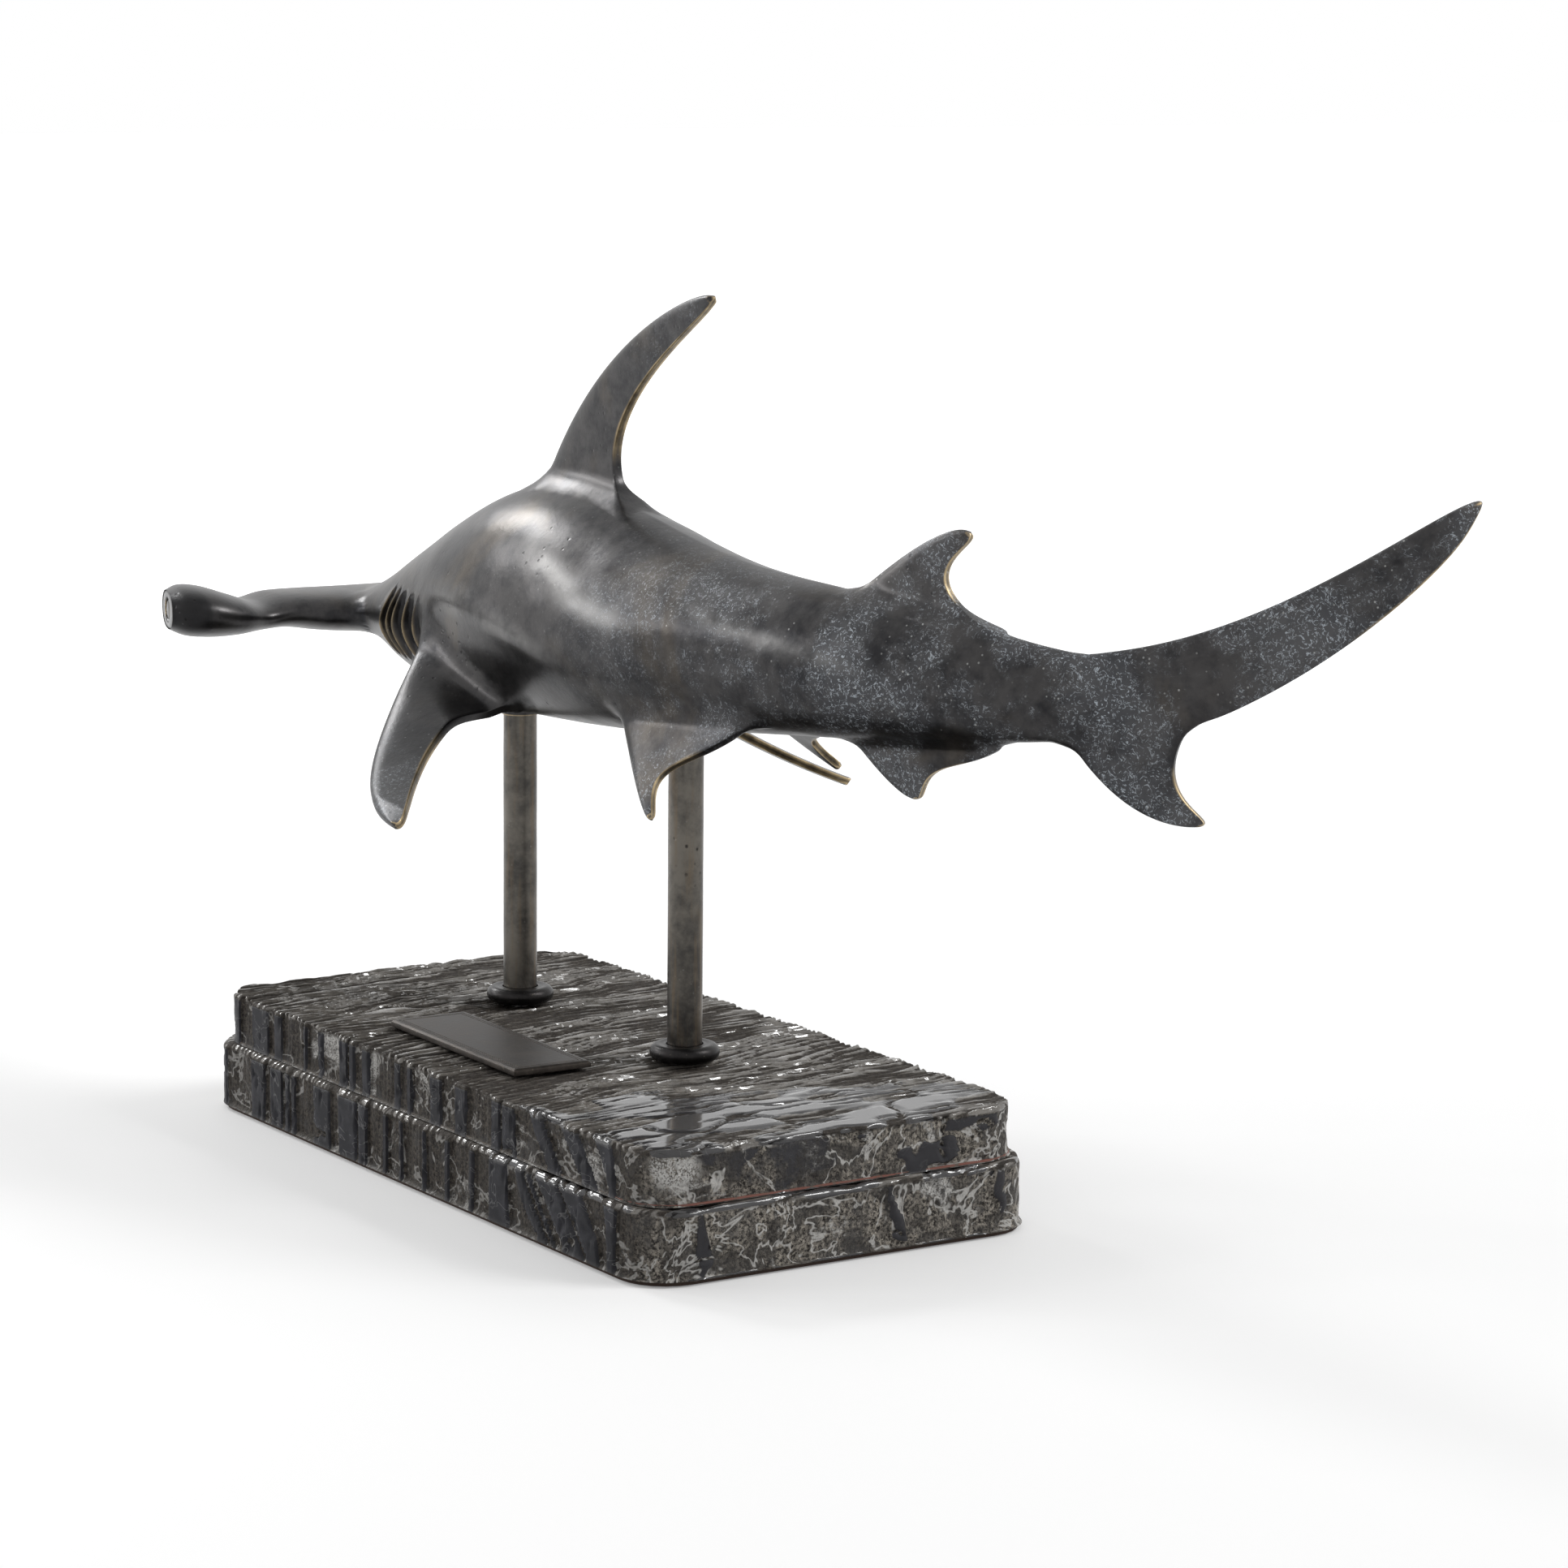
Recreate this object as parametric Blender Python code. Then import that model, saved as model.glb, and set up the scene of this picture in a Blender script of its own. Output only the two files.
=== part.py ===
"""Bronze hammerhead shark on two posts over a stepped base of layered stone.

Frame: metres, +Z up, origin at the centre of the base's underside. The head points to -X and the
tail sweeps round towards +Y.
"""

import math
import random

import bpy
import bmesh
import numpy as np

mm = 0.001

# Driving dimensions of the stone base
CLEARANCE = 0.3 * mm
LINER_THICKNESS = 1.2 * mm
LINER_INSET = 1.5 * mm
LOWER_LENGTH = 310.0 * mm
LOWER_WIDTH = 153.6 * mm
LOWER_THICKNESS = 23.1 * mm
LOWER_CHAMFER = 3.0 * mm
UPPER_LENGTH = 303.6 * mm
UPPER_WIDTH = 148.0 * mm
UPPER_THICKNESS = 17.4 * mm
UPPER_CHAMFER = 1.8 * mm
CORNER_RADIUS = 18.0 * mm
JOINT_THICKNESS = 0.6 * mm
JOINT_INSET = 0.4 * mm
STRATUM_NARROWEST = 5.0 * mm
STRATUM_WIDEST = 14.0 * mm
STRATUM_RELIEF = 1.3 * mm
STRATUM_WAVER = 1.6 * mm
STRATUM_WAVER_LENGTH = 23.0 * mm

# Driving dimensions of the posts and what fixes them
POST_DIAMETER = 12.0 * mm
FRONT_POST_X = -71.4 * mm
REAR_POST_X = 41.1 * mm
POST_Y = 7.6 * mm
POST_ENGAGEMENT = 9.0 * mm
POST_EDGE = 0.5 * mm
COLLAR_DIAMETER = 24.0 * mm
COLLAR_HEIGHT = 5.8 * mm
STUD_DIAMETER = 6.0 * mm
STUD_IN_POST = 16.0 * mm
STUD_BELOW_NUT = 1.6 * mm
NUT_FLATS = 10.0 * mm
NUT_THICKNESS = 5.0 * mm
WASHER_DIAMETER = 18.0 * mm
WASHER_THICKNESS = 1.6 * mm
COUNTERBORE_DIAMETER = 22.0 * mm
COUNTERBORE_DEPTH = 10.0 * mm
WELD_REACH = 2.6 * mm
WELD_DROP = 3.0 * mm

# Driving dimensions of the name plate
PLATE_LENGTH = 92.0 * mm
PLATE_WIDTH = 29.6 * mm
PLATE_THICKNESS = 2.2 * mm
PLATE_BEVEL = 0.9 * mm
PLATE_BORDER = 2.0 * mm
PLATE_GROOVE_WIDTH = 0.5 * mm
PLATE_GROOVE_DEPTH = 0.35 * mm
PLATE_X = -11.2 * mm
PLATE_FROM_SIDE = 34.8 * mm
PLATE_Y = PLATE_FROM_SIDE - UPPER_WIDTH / 2
PLATE_TURN = math.radians(-1.5)

# The shark's spine: how high it swims, where its nose is, and how its tail sweeps
SWIM_HEIGHT = 180.0 * mm
NOSE_X = -205.0 * mm
SWEEP_START = 200.0 * mm
SWEEP_END = 470.0 * mm
TAIL_SWEEP = math.radians(42.0)

# Sections of the body: distance from the nose, back above the spine's height, belly below it
# (both signed, upwards) and half width
BODY_STATIONS = np.array([
    (10.0, 0.0, -8.0, 8.0),
    (20.0, 2.5, -11.5, 15.0),
    (34.0, 4.5, -13.0, 17.5),
    (50.0, 9.0, -14.0, 19.0),
    (74.0, 21.0, -22.5, 23.5),
    (98.0, 32.5, -27.5, 28.0),
    (122.0, 43.0, -28.6, 32.0),
    (150.0, 51.5, -29.0, 35.0),
    (185.0, 53.0, -28.0, 36.0),
    (221.0, 47.5, -26.0, 35.0),
    (247.0, 42.5, -23.5, 32.5),
    (275.0, 38.0, -20.0, 29.0),
    (300.0, 35.5, -17.5, 25.0),
    (330.0, 33.5, -15.0, 20.5),
    (360.0, 30.5, -12.5, 16.0),
    (390.0, 26.0, -10.0, 11.5),
    (410.0, 22.5, -8.0, 8.0),
    (430.0, 20.0, -6.0, 4.5),
    (446.0, 18.0, -4.0, 2.0),
]) * mm
BODY_RINGS = 40
BODY_SIDES = 20

# Sections of the hammer: distance from the middle, leading and trailing edges behind the nose,
# height above the spine and thickness
HAMMER_STATIONS = np.array([
    (0.0, 2.0, 58.0, -5.0, 16.0),
    (14.0, 0.5, 54.0, -5.0, 15.5),
    (28.0, 0.5, 47.0, -4.6, 14.5),
    (41.0, 2.0, 41.5, -4.0, 12.5),
    (52.0, 3.5, 41.0, -5.2, 11.0),
    (64.0, 5.5, 47.0, -3.8, 15.2),
    (73.0, 7.0, 49.0, -2.1, 18.2),
    (79.0, 9.5, 46.0, -1.3, 17.6),
    (82.5, 13.5, 40.0, -1.0, 14.0),
]) * mm
HAMMER_RINGS = 25
HAMMER_SIDES = 16
HAMMER_SLANT = math.radians(18.0)
HAMMER_SLANT_FROM = 0.7
EYE_DIAMETER = 9.0 * mm
EYE_GROOVE = 1.1 * mm
EYE_DEPTH = 0.9 * mm
MOUTH_WIDTH = 34.0 * mm
MOUTH_DEPTH = 13.0 * mm
MOUTH_STATION = 34.0 * mm
MOUTH_OPENING = 3.4 * mm

# Gill slits: where each one starts and ends along the body at its narrowest bow, and the angles
# round the body, up from the side, of its top and bottom ends
GILL_SLITS = (
    (71.8 * mm, 77.8 * mm, math.radians(24.0), math.radians(-38.0)),
    (79.0 * mm, 84.4 * mm, math.radians(21.0), math.radians(-37.0)),
    (85.7 * mm, 95.3 * mm, math.radians(17.0), math.radians(-36.0)),
    (96.7 * mm, 105.8 * mm, math.radians(12.0), math.radians(-34.0)),
    (107.2 * mm, 115.0 * mm, math.radians(6.0), math.radians(-30.0)),
)
GILL_DEPTH = 2.4 * mm
GILL_BOW = 9.0 * mm
GILL_BOW_ANGLE = math.radians(30.0)

# Fins are blades between two cubic curves, the leading and the trailing edge, each from the root
# inside the body out to the tip. Points are (back along the spine, away from the body).
FIN_EDGE = 2.4 * mm
DORSAL_STATION = 150.0 * mm
DORSAL_LEAD = np.array([(-5, -12), (17, 32), (60, 62), (110, 74)]) * mm
DORSAL_TRAIL = np.array([(72, -12), (26, 12), (60, 40), (112, 69)]) * mm
DORSAL_THICKNESS = 5.2 * mm
SECOND_STATION = 330.0 * mm
SECOND_LEAD = np.array([(-5, -8), (19, 7), (34, 20.5), (52, 24)]) * mm
SECOND_TRAIL = np.array([(66, -10), (44, 0), (36, 8), (55, 20)]) * mm
SECOND_THICKNESS = 4.2 * mm
ANAL_STATION = 328.0 * mm
ANAL_LEAD = np.array([(-4, -8), (10, 1), (22, 13), (34, 16.5)]) * mm
ANAL_TRAIL = np.array([(71, -6), (57, 6), (39, 1), (38, 15)]) * mm
ANAL_THICKNESS = 4.0 * mm
UPPER_LOBE_STATION = 410.0 * mm
UPPER_LOBE_LEAD = np.array([(-18, 20), (48, 16), (90, 46), (138, 76.5)]) * mm
UPPER_LOBE_TRAIL = np.array([(20, -9), (70.5, -0.5), (121.5, 43), (136, 67)]) * mm
UPPER_LOBE_THICKNESS = 5.0 * mm
LOWER_LOBE_STATION = 410.0 * mm
LOWER_LOBE_LEAD = np.array([(-8, -14), (13, 9), (24, 30), (52, 31.5)]) * mm
LOWER_LOBE_TRAIL = np.array([(64, -16), (43, 2), (38, 19), (57, 29)]) * mm
LOWER_LOBE_THICKNESS = 4.6 * mm
PECTORAL_STATION = 119.0 * mm
PECTORAL_LEAD = np.array([(-8, -13.8), (19.5, 28), (49, 67.5), (92, 78.5)]) * mm
PECTORAL_TRAIL = np.array([(60.5, -13.7), (38, 13), (62.5, 46), (103, 75.5)]) * mm
PECTORAL_THICKNESS = 5.0 * mm
PECTORAL_OUT = 31.5 * mm
PECTORAL_HEIGHT = -3.1 * mm
PECTORAL_PITCH = (math.radians(16.6), math.radians(3.5))
PELVIC_STATION = 238.0 * mm
PELVIC_LEAD = np.array([(-18.4, -10.1), (5.9, 4.7), (22.5, 25), (39.6, 35.3)]) * mm
PELVIC_TRAIL = np.array([(69.2, -10.4), (54.2, 11.9), (24.8, 15.5), (40.7, 31.4)]) * mm
PELVIC_THICKNESS = 4.4 * mm
PELVIC_OUT = 21.0 * mm
PELVIC_HEIGHT = -9.5 * mm
PELVIC_PITCH = (math.radians(8.7), math.radians(8.7))
TWIST_REACH = 70.0 * mm

# The paired fins aren't quite alike: droop and span of the left one (-1) and the right one (1)
PECTORAL_DROOP = {-1: math.radians(34.0), 1: math.radians(38.0)}
PECTORAL_SPAN = {-1: 1.0, 1: 0.9}
PELVIC_DROOP = {-1: math.radians(64.0), 1: math.radians(43.5)}
PELVIC_SPAN = {-1: 1.0, 1: 0.85}

# Heights of the stack, from the resting plane up
LOWER_BOTTOM = LINER_THICKNESS + CLEARANCE
LOWER_TOP = LOWER_BOTTOM + LOWER_THICKNESS
JOINT_BOTTOM = LOWER_TOP + CLEARANCE
JOINT_TOP = JOINT_BOTTOM + JOINT_THICKNESS
UPPER_BOTTOM = JOINT_TOP + CLEARANCE
UPPER_TOP = UPPER_BOTTOM + UPPER_THICKNESS
POST_BOTTOM = UPPER_TOP + CLEARANCE

STRATA_SEED = 7


def clear_scene():
    for thing in list(bpy.data.objects):
        bpy.data.objects.remove(thing, do_unlink=True)


def finish(name, colour, roughness, metallic):
    """A Principled material with one colour."""
    material = bpy.data.materials.new(name)
    material.use_nodes = True
    shader = material.node_tree.nodes["Principled BSDF"]
    shader.inputs["Base Color"].default_value = (*colour, 1.0)
    shader.inputs["Roughness"].default_value = roughness
    shader.inputs["Metallic"].default_value = metallic
    return material


def smooth(knots, values, at):
    """Values read between knots on a cubic curve whose slope at each knot is the mean of its two sides."""
    knots = np.asarray(knots, float)
    values = np.asarray(values, float)
    at = np.clip(at, knots[0], knots[-1])
    steps = np.diff(knots)
    chords = np.diff(values) / steps
    slopes = np.concatenate([chords[:1], (chords[1:] + chords[:-1]) / 2, chords[-1:]])
    cell = np.clip(np.searchsorted(knots, at, side="right") - 1, 0, len(knots) - 2)
    part = (at - knots[cell]) / steps[cell]
    low, high = values[cell], values[cell + 1]
    low_slope, high_slope = slopes[cell] * steps[cell], slopes[cell + 1] * steps[cell]
    return (
        low * (2 * part**3 - 3 * part**2 + 1)
        + low_slope * (part**3 - 2 * part**2 + part)
        + high * (3 * part**2 - 2 * part**3)
        + high_slope * (part**3 - part**2)
    )


def cubic(points, at):
    """Points on the cubic Bezier curve of four control points."""
    at = np.asarray(at, float)[:, None]
    weights = ((1 - at) ** 3, 3 * at * (1 - at) ** 2, 3 * at**2 * (1 - at), at**3)
    return sum(weight * point for weight, point in zip(weights, np.asarray(points, float)))


def heading(station):
    """The way the spine points in plan, turning from -X's line towards +Y along the tail."""
    part = np.clip((station - SWEEP_START) / (SWEEP_END - SWEEP_START), 0.0, 1.0)
    return TAIL_SWEEP * part**2


def spine_place(station, aside, height):
    """World points from the distance along the spine, the offset to its right and the height."""
    station, aside, height = np.broadcast_arrays(station, aside, height)
    walk = np.linspace(0.0, 700.0 * mm, 2801)
    turn = heading(walk)
    step = walk[1] - walk[0]
    along_x = NOSE_X + np.concatenate([[0.0], np.cumsum((np.cos(turn[1:]) + np.cos(turn[:-1])) / 2)]) * step
    along_y = POST_Y + np.concatenate([[0.0], np.cumsum((np.sin(turn[1:]) + np.sin(turn[:-1])) / 2)]) * step
    turned_by = heading(station)
    x = np.interp(station, walk, along_x) - aside * np.sin(turned_by)
    y = np.interp(station, walk, along_y) + aside * np.cos(turned_by)
    return np.stack([x, y, SWIM_HEIGHT + height], axis=-1)


def body_size(station):
    """Back height, belly height and half width of the body at a station."""
    return [smooth(BODY_STATIONS[:, 0], BODY_STATIONS[:, i], station) for i in (1, 2, 3)]


def body_place(station, angle):
    """Points of the skin: an oval that is narrow along the back and full at the belly."""
    back, belly, half = body_size(station)
    middle = belly + 0.47 * (back - belly)
    up = np.sin(angle)
    out = np.cos(angle)
    reach = np.where(up > 0, back - middle, middle - belly)
    narrow = np.where(up > 0, 1.12, 0.86)
    aside = half * np.sign(out) * np.abs(out) ** narrow
    return spine_place(station, aside, middle + reach * up)


def body_normal(station, angle):
    """The outward direction of the skin, from its two slopes."""
    small = 0.2 * mm
    along = body_place(station + small, angle) - body_place(station - small, angle)
    round_it = body_place(station, angle + 0.01) - body_place(station, angle - 0.01)
    normal = np.cross(round_it, along)
    return normal / np.linalg.norm(normal, axis=-1, keepdims=True)


def new_object(name, mesh, material=None):
    thing = bpy.data.objects.new(name, mesh)
    bpy.context.scene.collection.objects.link(thing)
    if material:
        mesh.materials.append(material)
    return thing


def loft(name, rings, material=None, ring_loop=False):
    """A closed solid through rings of equal count; with ring_loop the last ring meets the first."""
    rings = np.asarray(rings, float)
    count, sides, _ = rings.shape
    mesh = bpy.data.meshes.new(name)
    bm = bmesh.new()
    verts = [[bm.verts.new(point) for point in ring] for ring in rings]
    spans = count if ring_loop else count - 1
    for i in range(spans):
        here, there = verts[i], verts[(i + 1) % count]
        for j in range(sides):
            k = (j + 1) % sides
            bm.faces.new((here[j], here[k], there[k], there[j]))
    if not ring_loop:
        bm.faces.new(verts[0])
        bm.faces.new(verts[-1])
    bmesh.ops.recalc_face_normals(bm, faces=bm.faces)
    bm.to_mesh(mesh)
    bm.free()
    mesh.shade_smooth()
    mesh.set_sharp_from_angle(angle=math.radians(35.0))
    return new_object(name, mesh, material)


def guide(thing):
    """Mark an object as a cutter or a part of a union, which isn't a piece of its own."""
    thing.hide_render = True
    thing.display_type = "WIRE"
    return thing


def combine(target, other, operation):
    step = target.modifiers.new(other.name, "BOOLEAN")
    step.operation = operation
    step.solver = "EXACT"
    step.use_self = operation == "UNION"
    step.object = guide(other)


def turned(name, profile, centre, sides, material=None, tube=False):
    """A solid of revolution about the vertical through centre; a tube's profile closes on itself."""
    angles = np.arange(sides) * 2 * math.pi / sides
    rings = []
    for radius, height in profile:
        reach = radius(angles) if callable(radius) else np.full(sides, radius)
        rings.append(np.stack([
            centre[0] + reach * np.cos(angles),
            centre[1] + reach * np.sin(angles),
            np.full(sides, height),
        ], axis=-1))
    return loft(name, rings, material, ring_loop=tube)


def plan_half_width(x, length, width, radius):
    """Half width of a rounded rectangle at x."""
    past = np.clip(np.abs(x) - (length / 2 - radius), 0.0, radius)
    return width / 2 - radius + np.sqrt(np.maximum(radius**2 - past**2, 0.0))


def rounded_plate(name, length, width, radius, bottom, top, material, corner_steps=6):
    """A flat plate with round corners, of even thickness."""
    outline = []
    for quarter in range(4):
        for step in range(corner_steps + 1):
            angle = (quarter + step / corner_steps) * math.pi / 2
            side_x = 1 if quarter in (0, 3) else -1
            side_y = 1 if quarter in (0, 1) else -1
            outline.append((
                side_x * (length / 2 - radius) + radius * math.cos(angle),
                side_y * (width / 2 - radius) + radius * math.sin(angle),
            ))
    rings = [[(x, y, height) for x, y in outline] for height in (bottom, top)]
    return loft(name, rings, material)


def strata(length, seed):
    """Layers of the stone along X: where each one starts and ends and how far it is worn back."""
    draw = random.Random(seed)
    edge = -length / 2 + CORNER_RADIUS / 2
    layers = []
    hard = True
    while edge < length / 2 - CORNER_RADIUS / 2:
        wide = draw.uniform(STRATUM_NARROWEST, STRATUM_WIDEST)
        worn = draw.uniform(0.0, 0.15) if hard else draw.uniform(0.55, 1.0)
        layers.append((edge, min(edge + wide, length / 2 - CORNER_RADIUS / 2), worn * STRATUM_RELIEF))
        edge += wide
        hard = not hard
    return layers


def stone_slab(name, length, width, chamfer, bottom, top, seed, material):
    """A slab lofted along X, whose soft layers are worn back on the top and the long sides."""
    half = length / 2
    lip = 0.5 * mm
    arc = [half - CORNER_RADIUS * (1 - math.sin(angle)) for angle in np.radians((20, 42, 62, 78))]
    stations = [(half, chamfer), (half - chamfer * 0.8, 0.0)] + [(x, 0.0) for x in reversed(arc)]
    stations = [(-x, drop) for x, drop in stations]
    for start, end, worn in strata(length, seed):
        stations.append((start + lip, worn))
        stations.append((end - lip, worn))
    stations += [(x, 0.0) for x in arc] + [(half - chamfer * 0.8, 0.0), (half, chamfer)]
    stations.sort()
    rings = []
    for x, worn in stations:
        inside = abs(x) < half - CORNER_RADIUS
        side = plan_half_width(np.float64(x), length, width, CORNER_RADIUS) - (worn if inside else 0.0)
        crown = top - worn
        across = np.linspace(-1.0, 1.0, 3)
        waver = STRATUM_WAVER * np.sin(x / STRATUM_WAVER_LENGTH) if inside else 0.0
        foot_y = side * np.array([-1.0, 1.0])
        ring = [(x, foot_y[0], bottom), (x, foot_y[0], crown - chamfer)]
        for reach in across:
            ring.append((x + waver * (1 - abs(reach)), (side - chamfer) * reach, crown))
        ring += [(x, foot_y[1], crown - chamfer), (x, foot_y[1], bottom)]
        rings.append(ring)
    return loft(name, rings, material)


def post_places():
    return {"front": FRONT_POST_X, "rear": REAR_POST_X}


def belly_over_post(x):
    """Height of the belly's lowest line above a post, in world units."""
    return SWIM_HEIGHT + float(body_size(np.array([x - NOSE_X]))[1][0])


def base_stone(stone):
    """Both slabs, with the bores and counterbores that the studs need."""
    lower = stone_slab("lower_slab", LOWER_LENGTH, LOWER_WIDTH, LOWER_CHAMFER,
                       LOWER_BOTTOM, LOWER_TOP, STRATA_SEED, stone)
    upper = stone_slab("upper_slab", UPPER_LENGTH, UPPER_WIDTH, UPPER_CHAMFER,
                       UPPER_BOTTOM, UPPER_TOP, STRATA_SEED, stone)
    bore = STUD_DIAMETER / 2 + CLEARANCE
    past = 2.0 * mm
    for place, x in post_places().items():
        centre = (x, POST_Y)
        drill = turned(place + "_stud_bore", [(bore, LOWER_BOTTOM - past), (bore, UPPER_TOP + past)],
                       centre, 16)
        sink = turned(place + "_counterbore", [
            (COUNTERBORE_DIAMETER / 2, LOWER_BOTTOM - past),
            (COUNTERBORE_DIAMETER / 2, LOWER_BOTTOM + COUNTERBORE_DEPTH),
        ], centre, 24)
        combine(lower, drill, "DIFFERENCE")
        combine(lower, sink, "DIFFERENCE")
        combine(upper, drill, "DIFFERENCE")
    return lower, upper


def joint_bed(resin):
    """The thin bed of adhesive between the slabs, drilled for the studs."""
    bed = rounded_plate("joint_resin", UPPER_LENGTH - 2 * JOINT_INSET, UPPER_WIDTH - 2 * JOINT_INSET,
                        CORNER_RADIUS - JOINT_INSET, JOINT_BOTTOM, JOINT_TOP, resin)
    bore = STUD_DIAMETER / 2 + CLEARANCE
    for place, x in post_places().items():
        drill = turned(place + "_joint_bore", [(bore, JOINT_BOTTOM - mm), (bore, JOINT_TOP + mm)],
                       (x, POST_Y), 16)
        combine(bed, drill, "DIFFERENCE")
    return bed


def post(place, x, bronze):
    """A round post, drilled from below for its stud, whose top sits in a socket in the belly."""
    radius = POST_DIAMETER / 2
    hole = STUD_DIAMETER / 2 + CLEARANCE
    top = belly_over_post(x) + POST_ENGAGEMENT - CLEARANCE
    hole_top = POST_BOTTOM + STUD_IN_POST + CLEARANCE
    profile = [
        (hole, hole_top), (hole, POST_BOTTOM), (radius - POST_EDGE, POST_BOTTOM),
        (radius, POST_BOTTOM + POST_EDGE), (radius, top - POST_EDGE), (radius - POST_EDGE, top),
    ]
    return turned(place + "_post", profile, (x, POST_Y), 20, bronze)


def collar(place, x, bronze):
    """A ring round the post's foot with a bulging side and a flat top."""
    inner = POST_DIAMETER / 2 + CLEARANCE
    outer = COLLAR_DIAMETER / 2
    bulge = COLLAR_HEIGHT / 2
    profile = [(inner, POST_BOTTOM), (outer - bulge, POST_BOTTOM)]
    for angle in np.radians((-50, 0, 50)):
        profile.append((outer - bulge + bulge * math.cos(angle), POST_BOTTOM + bulge + bulge * math.sin(angle)))
    profile += [(outer - bulge, POST_BOTTOM + COLLAR_HEIGHT), (inner, POST_BOTTOM + COLLAR_HEIGHT)]
    return turned(place + "_collar", profile, (x, POST_Y), 22, bronze, tube=True)


def fixing(place, x, steel):
    """Stud, washer and nut that hold one post down from under the lower slab."""
    centre = (x, POST_Y)
    radius = STUD_DIAMETER / 2
    seat = LOWER_BOTTOM + COUNTERBORE_DEPTH
    washer_top = seat - CLEARANCE
    washer_bottom = washer_top - WASHER_THICKNESS
    nut_top = washer_bottom - CLEARANCE
    nut_bottom = nut_top - NUT_THICKNESS
    stud_edge = 0.6 * mm
    stud_bottom = nut_bottom - STUD_BELOW_NUT
    stud_top = POST_BOTTOM + STUD_IN_POST
    turned(place + "_stud", [
        (radius - stud_edge, stud_bottom), (radius, stud_bottom + stud_edge),
        (radius, stud_top - stud_edge), (radius - stud_edge, stud_top),
    ], centre, 12, steel)
    hole = radius + CLEARANCE
    turned(place + "_washer", [
        (hole, washer_bottom), (WASHER_DIAMETER / 2, washer_bottom),
        (WASHER_DIAMETER / 2, washer_top), (hole, washer_top),
    ], centre, 16, steel, tube=True)

    def hexagon(angles):
        return NUT_FLATS / 2 / np.cos((angles + math.pi / 6) % (math.pi / 3) - math.pi / 6)

    turned(place + "_nut", [(hole, nut_bottom), (hexagon, nut_bottom), (hexagon, nut_top), (hole, nut_top)],
           centre, 12, steel, tube=True)


def name_plate(bronze):
    """A bare plate with bevelled sides and a fine groove round its border."""
    bottom = UPPER_TOP + CLEARANCE
    top = bottom + PLATE_THICKNESS
    turn_cos, turn_sin = math.cos(PLATE_TURN), math.sin(PLATE_TURN)

    def frame_ring(inset, height):
        half_x, half_y = PLATE_LENGTH / 2 - inset, PLATE_WIDTH / 2 - inset
        corners = [(-half_x, -half_y), (half_x, -half_y), (half_x, half_y), (-half_x, half_y)]
        return [(PLATE_X + x * turn_cos - y * turn_sin, PLATE_Y + x * turn_sin + y * turn_cos, height)
                for x, y in corners]

    inner = PLATE_BORDER + PLATE_GROOVE_WIDTH
    floor = top - PLATE_GROOVE_DEPTH
    return loft("name_plate", [
        frame_ring(0.0, bottom), frame_ring(0.0, top - PLATE_BEVEL), frame_ring(PLATE_BEVEL, top),
        frame_ring(PLATE_BORDER, top), frame_ring(PLATE_BORDER, floor), frame_ring(inner, floor),
        frame_ring(inner, top),
    ], bronze)


def fin(name, lead, trail, thickness, place, spans=12, flare=1.6, flare_reach=7.0 * mm):
    """A blade lofted from root to tip between its leading and trailing edges. Its thickness is even
    over most of the chord, rounded in front and blunt behind, and swells where it meets the body."""
    span = np.sin(np.linspace(0.0, 1.0, spans) * math.pi / 2 * 0.985)
    front, back = cubic(lead, span), cubic(trail, span)
    middle = (front + back) / 2
    close = np.sqrt(1 - span**24)[:, None]
    front, back = middle + (front - middle) * close, middle + (back - middle) * close
    chord = np.linalg.norm(back - front, axis=1)
    share = np.array([0.0, 0.03, 0.12, 0.35, 0.65, 0.9, 1.0])
    plump = np.array([0.0, 0.45, 0.8, 1.0, 0.95, 0.75, 0.0])
    rings = []
    for row in range(spans):
        outward = max(middle[row, 1], 0.0)
        swell = 1 + flare * math.exp(-outward / flare_reach)
        taper = 1 - 0.35 * span[row]
        edge = min(FIN_EDGE, 0.8 * chord[row]) / 2
        half = np.maximum(thickness / 2 * plump * swell * taper, edge * (share > 0.5))
        half = np.minimum(half, 0.45 * chord[row] + 0.1 * mm)
        upper = [(*(front[row] + (back[row] - front[row]) * s), h) for s, h in zip(share, half)]
        lower = [(*(front[row] + (back[row] - front[row]) * s), -h) for s, h in zip(share[1:], half[1:])]
        ring = np.array(upper + lower[::-1])
        rings.append(place(ring[:, 0], ring[:, 1], ring[:, 2]))
    return loft(name, rings)


def upright_fin(name, station, lead, trail, thickness, above, **shape):
    """A fin standing on the back, or hanging from the belly, in the spine's own curved sheet."""
    back, belly, _ = [float(size[0]) for size in body_size(np.array([station]))]

    def place(along, away, aside):
        height = back + away if above else belly - away
        return spine_place(station + along, aside, height)

    return fin(name, lead, trail, thickness, place, **shape)


def lobe(name, station, lead, trail, thickness, way, **shape):
    """A lobe of the tail fin, measured from the spine's height up or down."""
    def place(along, away, aside):
        return spine_place(station + along, aside, way * away)

    return fin(name, lead, trail, thickness, place, **shape)


def side_fin(name, side, station, out, height, droop, span, pitch, lead, trail, thickness, **shape):
    """One fin of a pair: its root line is pitched nose up, its blade untwists outwards and droops."""
    def place(along, away, aside):
        away = away * span
        turn = pitch[0] + (pitch[1] - pitch[0]) * np.clip(away / TWIST_REACH, 0.0, 1.0)
        back = along * np.cos(turn) + aside * np.sin(turn)
        out_by = out + away * math.cos(droop) + aside * math.sin(droop)
        rise = height - along * np.sin(turn) - away * math.sin(droop) + aside * np.cos(turn) * math.cos(droop)
        return spine_place(station + back, side * out_by, rise)

    return fin(name, lead, trail, thickness, place, **shape)


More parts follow.
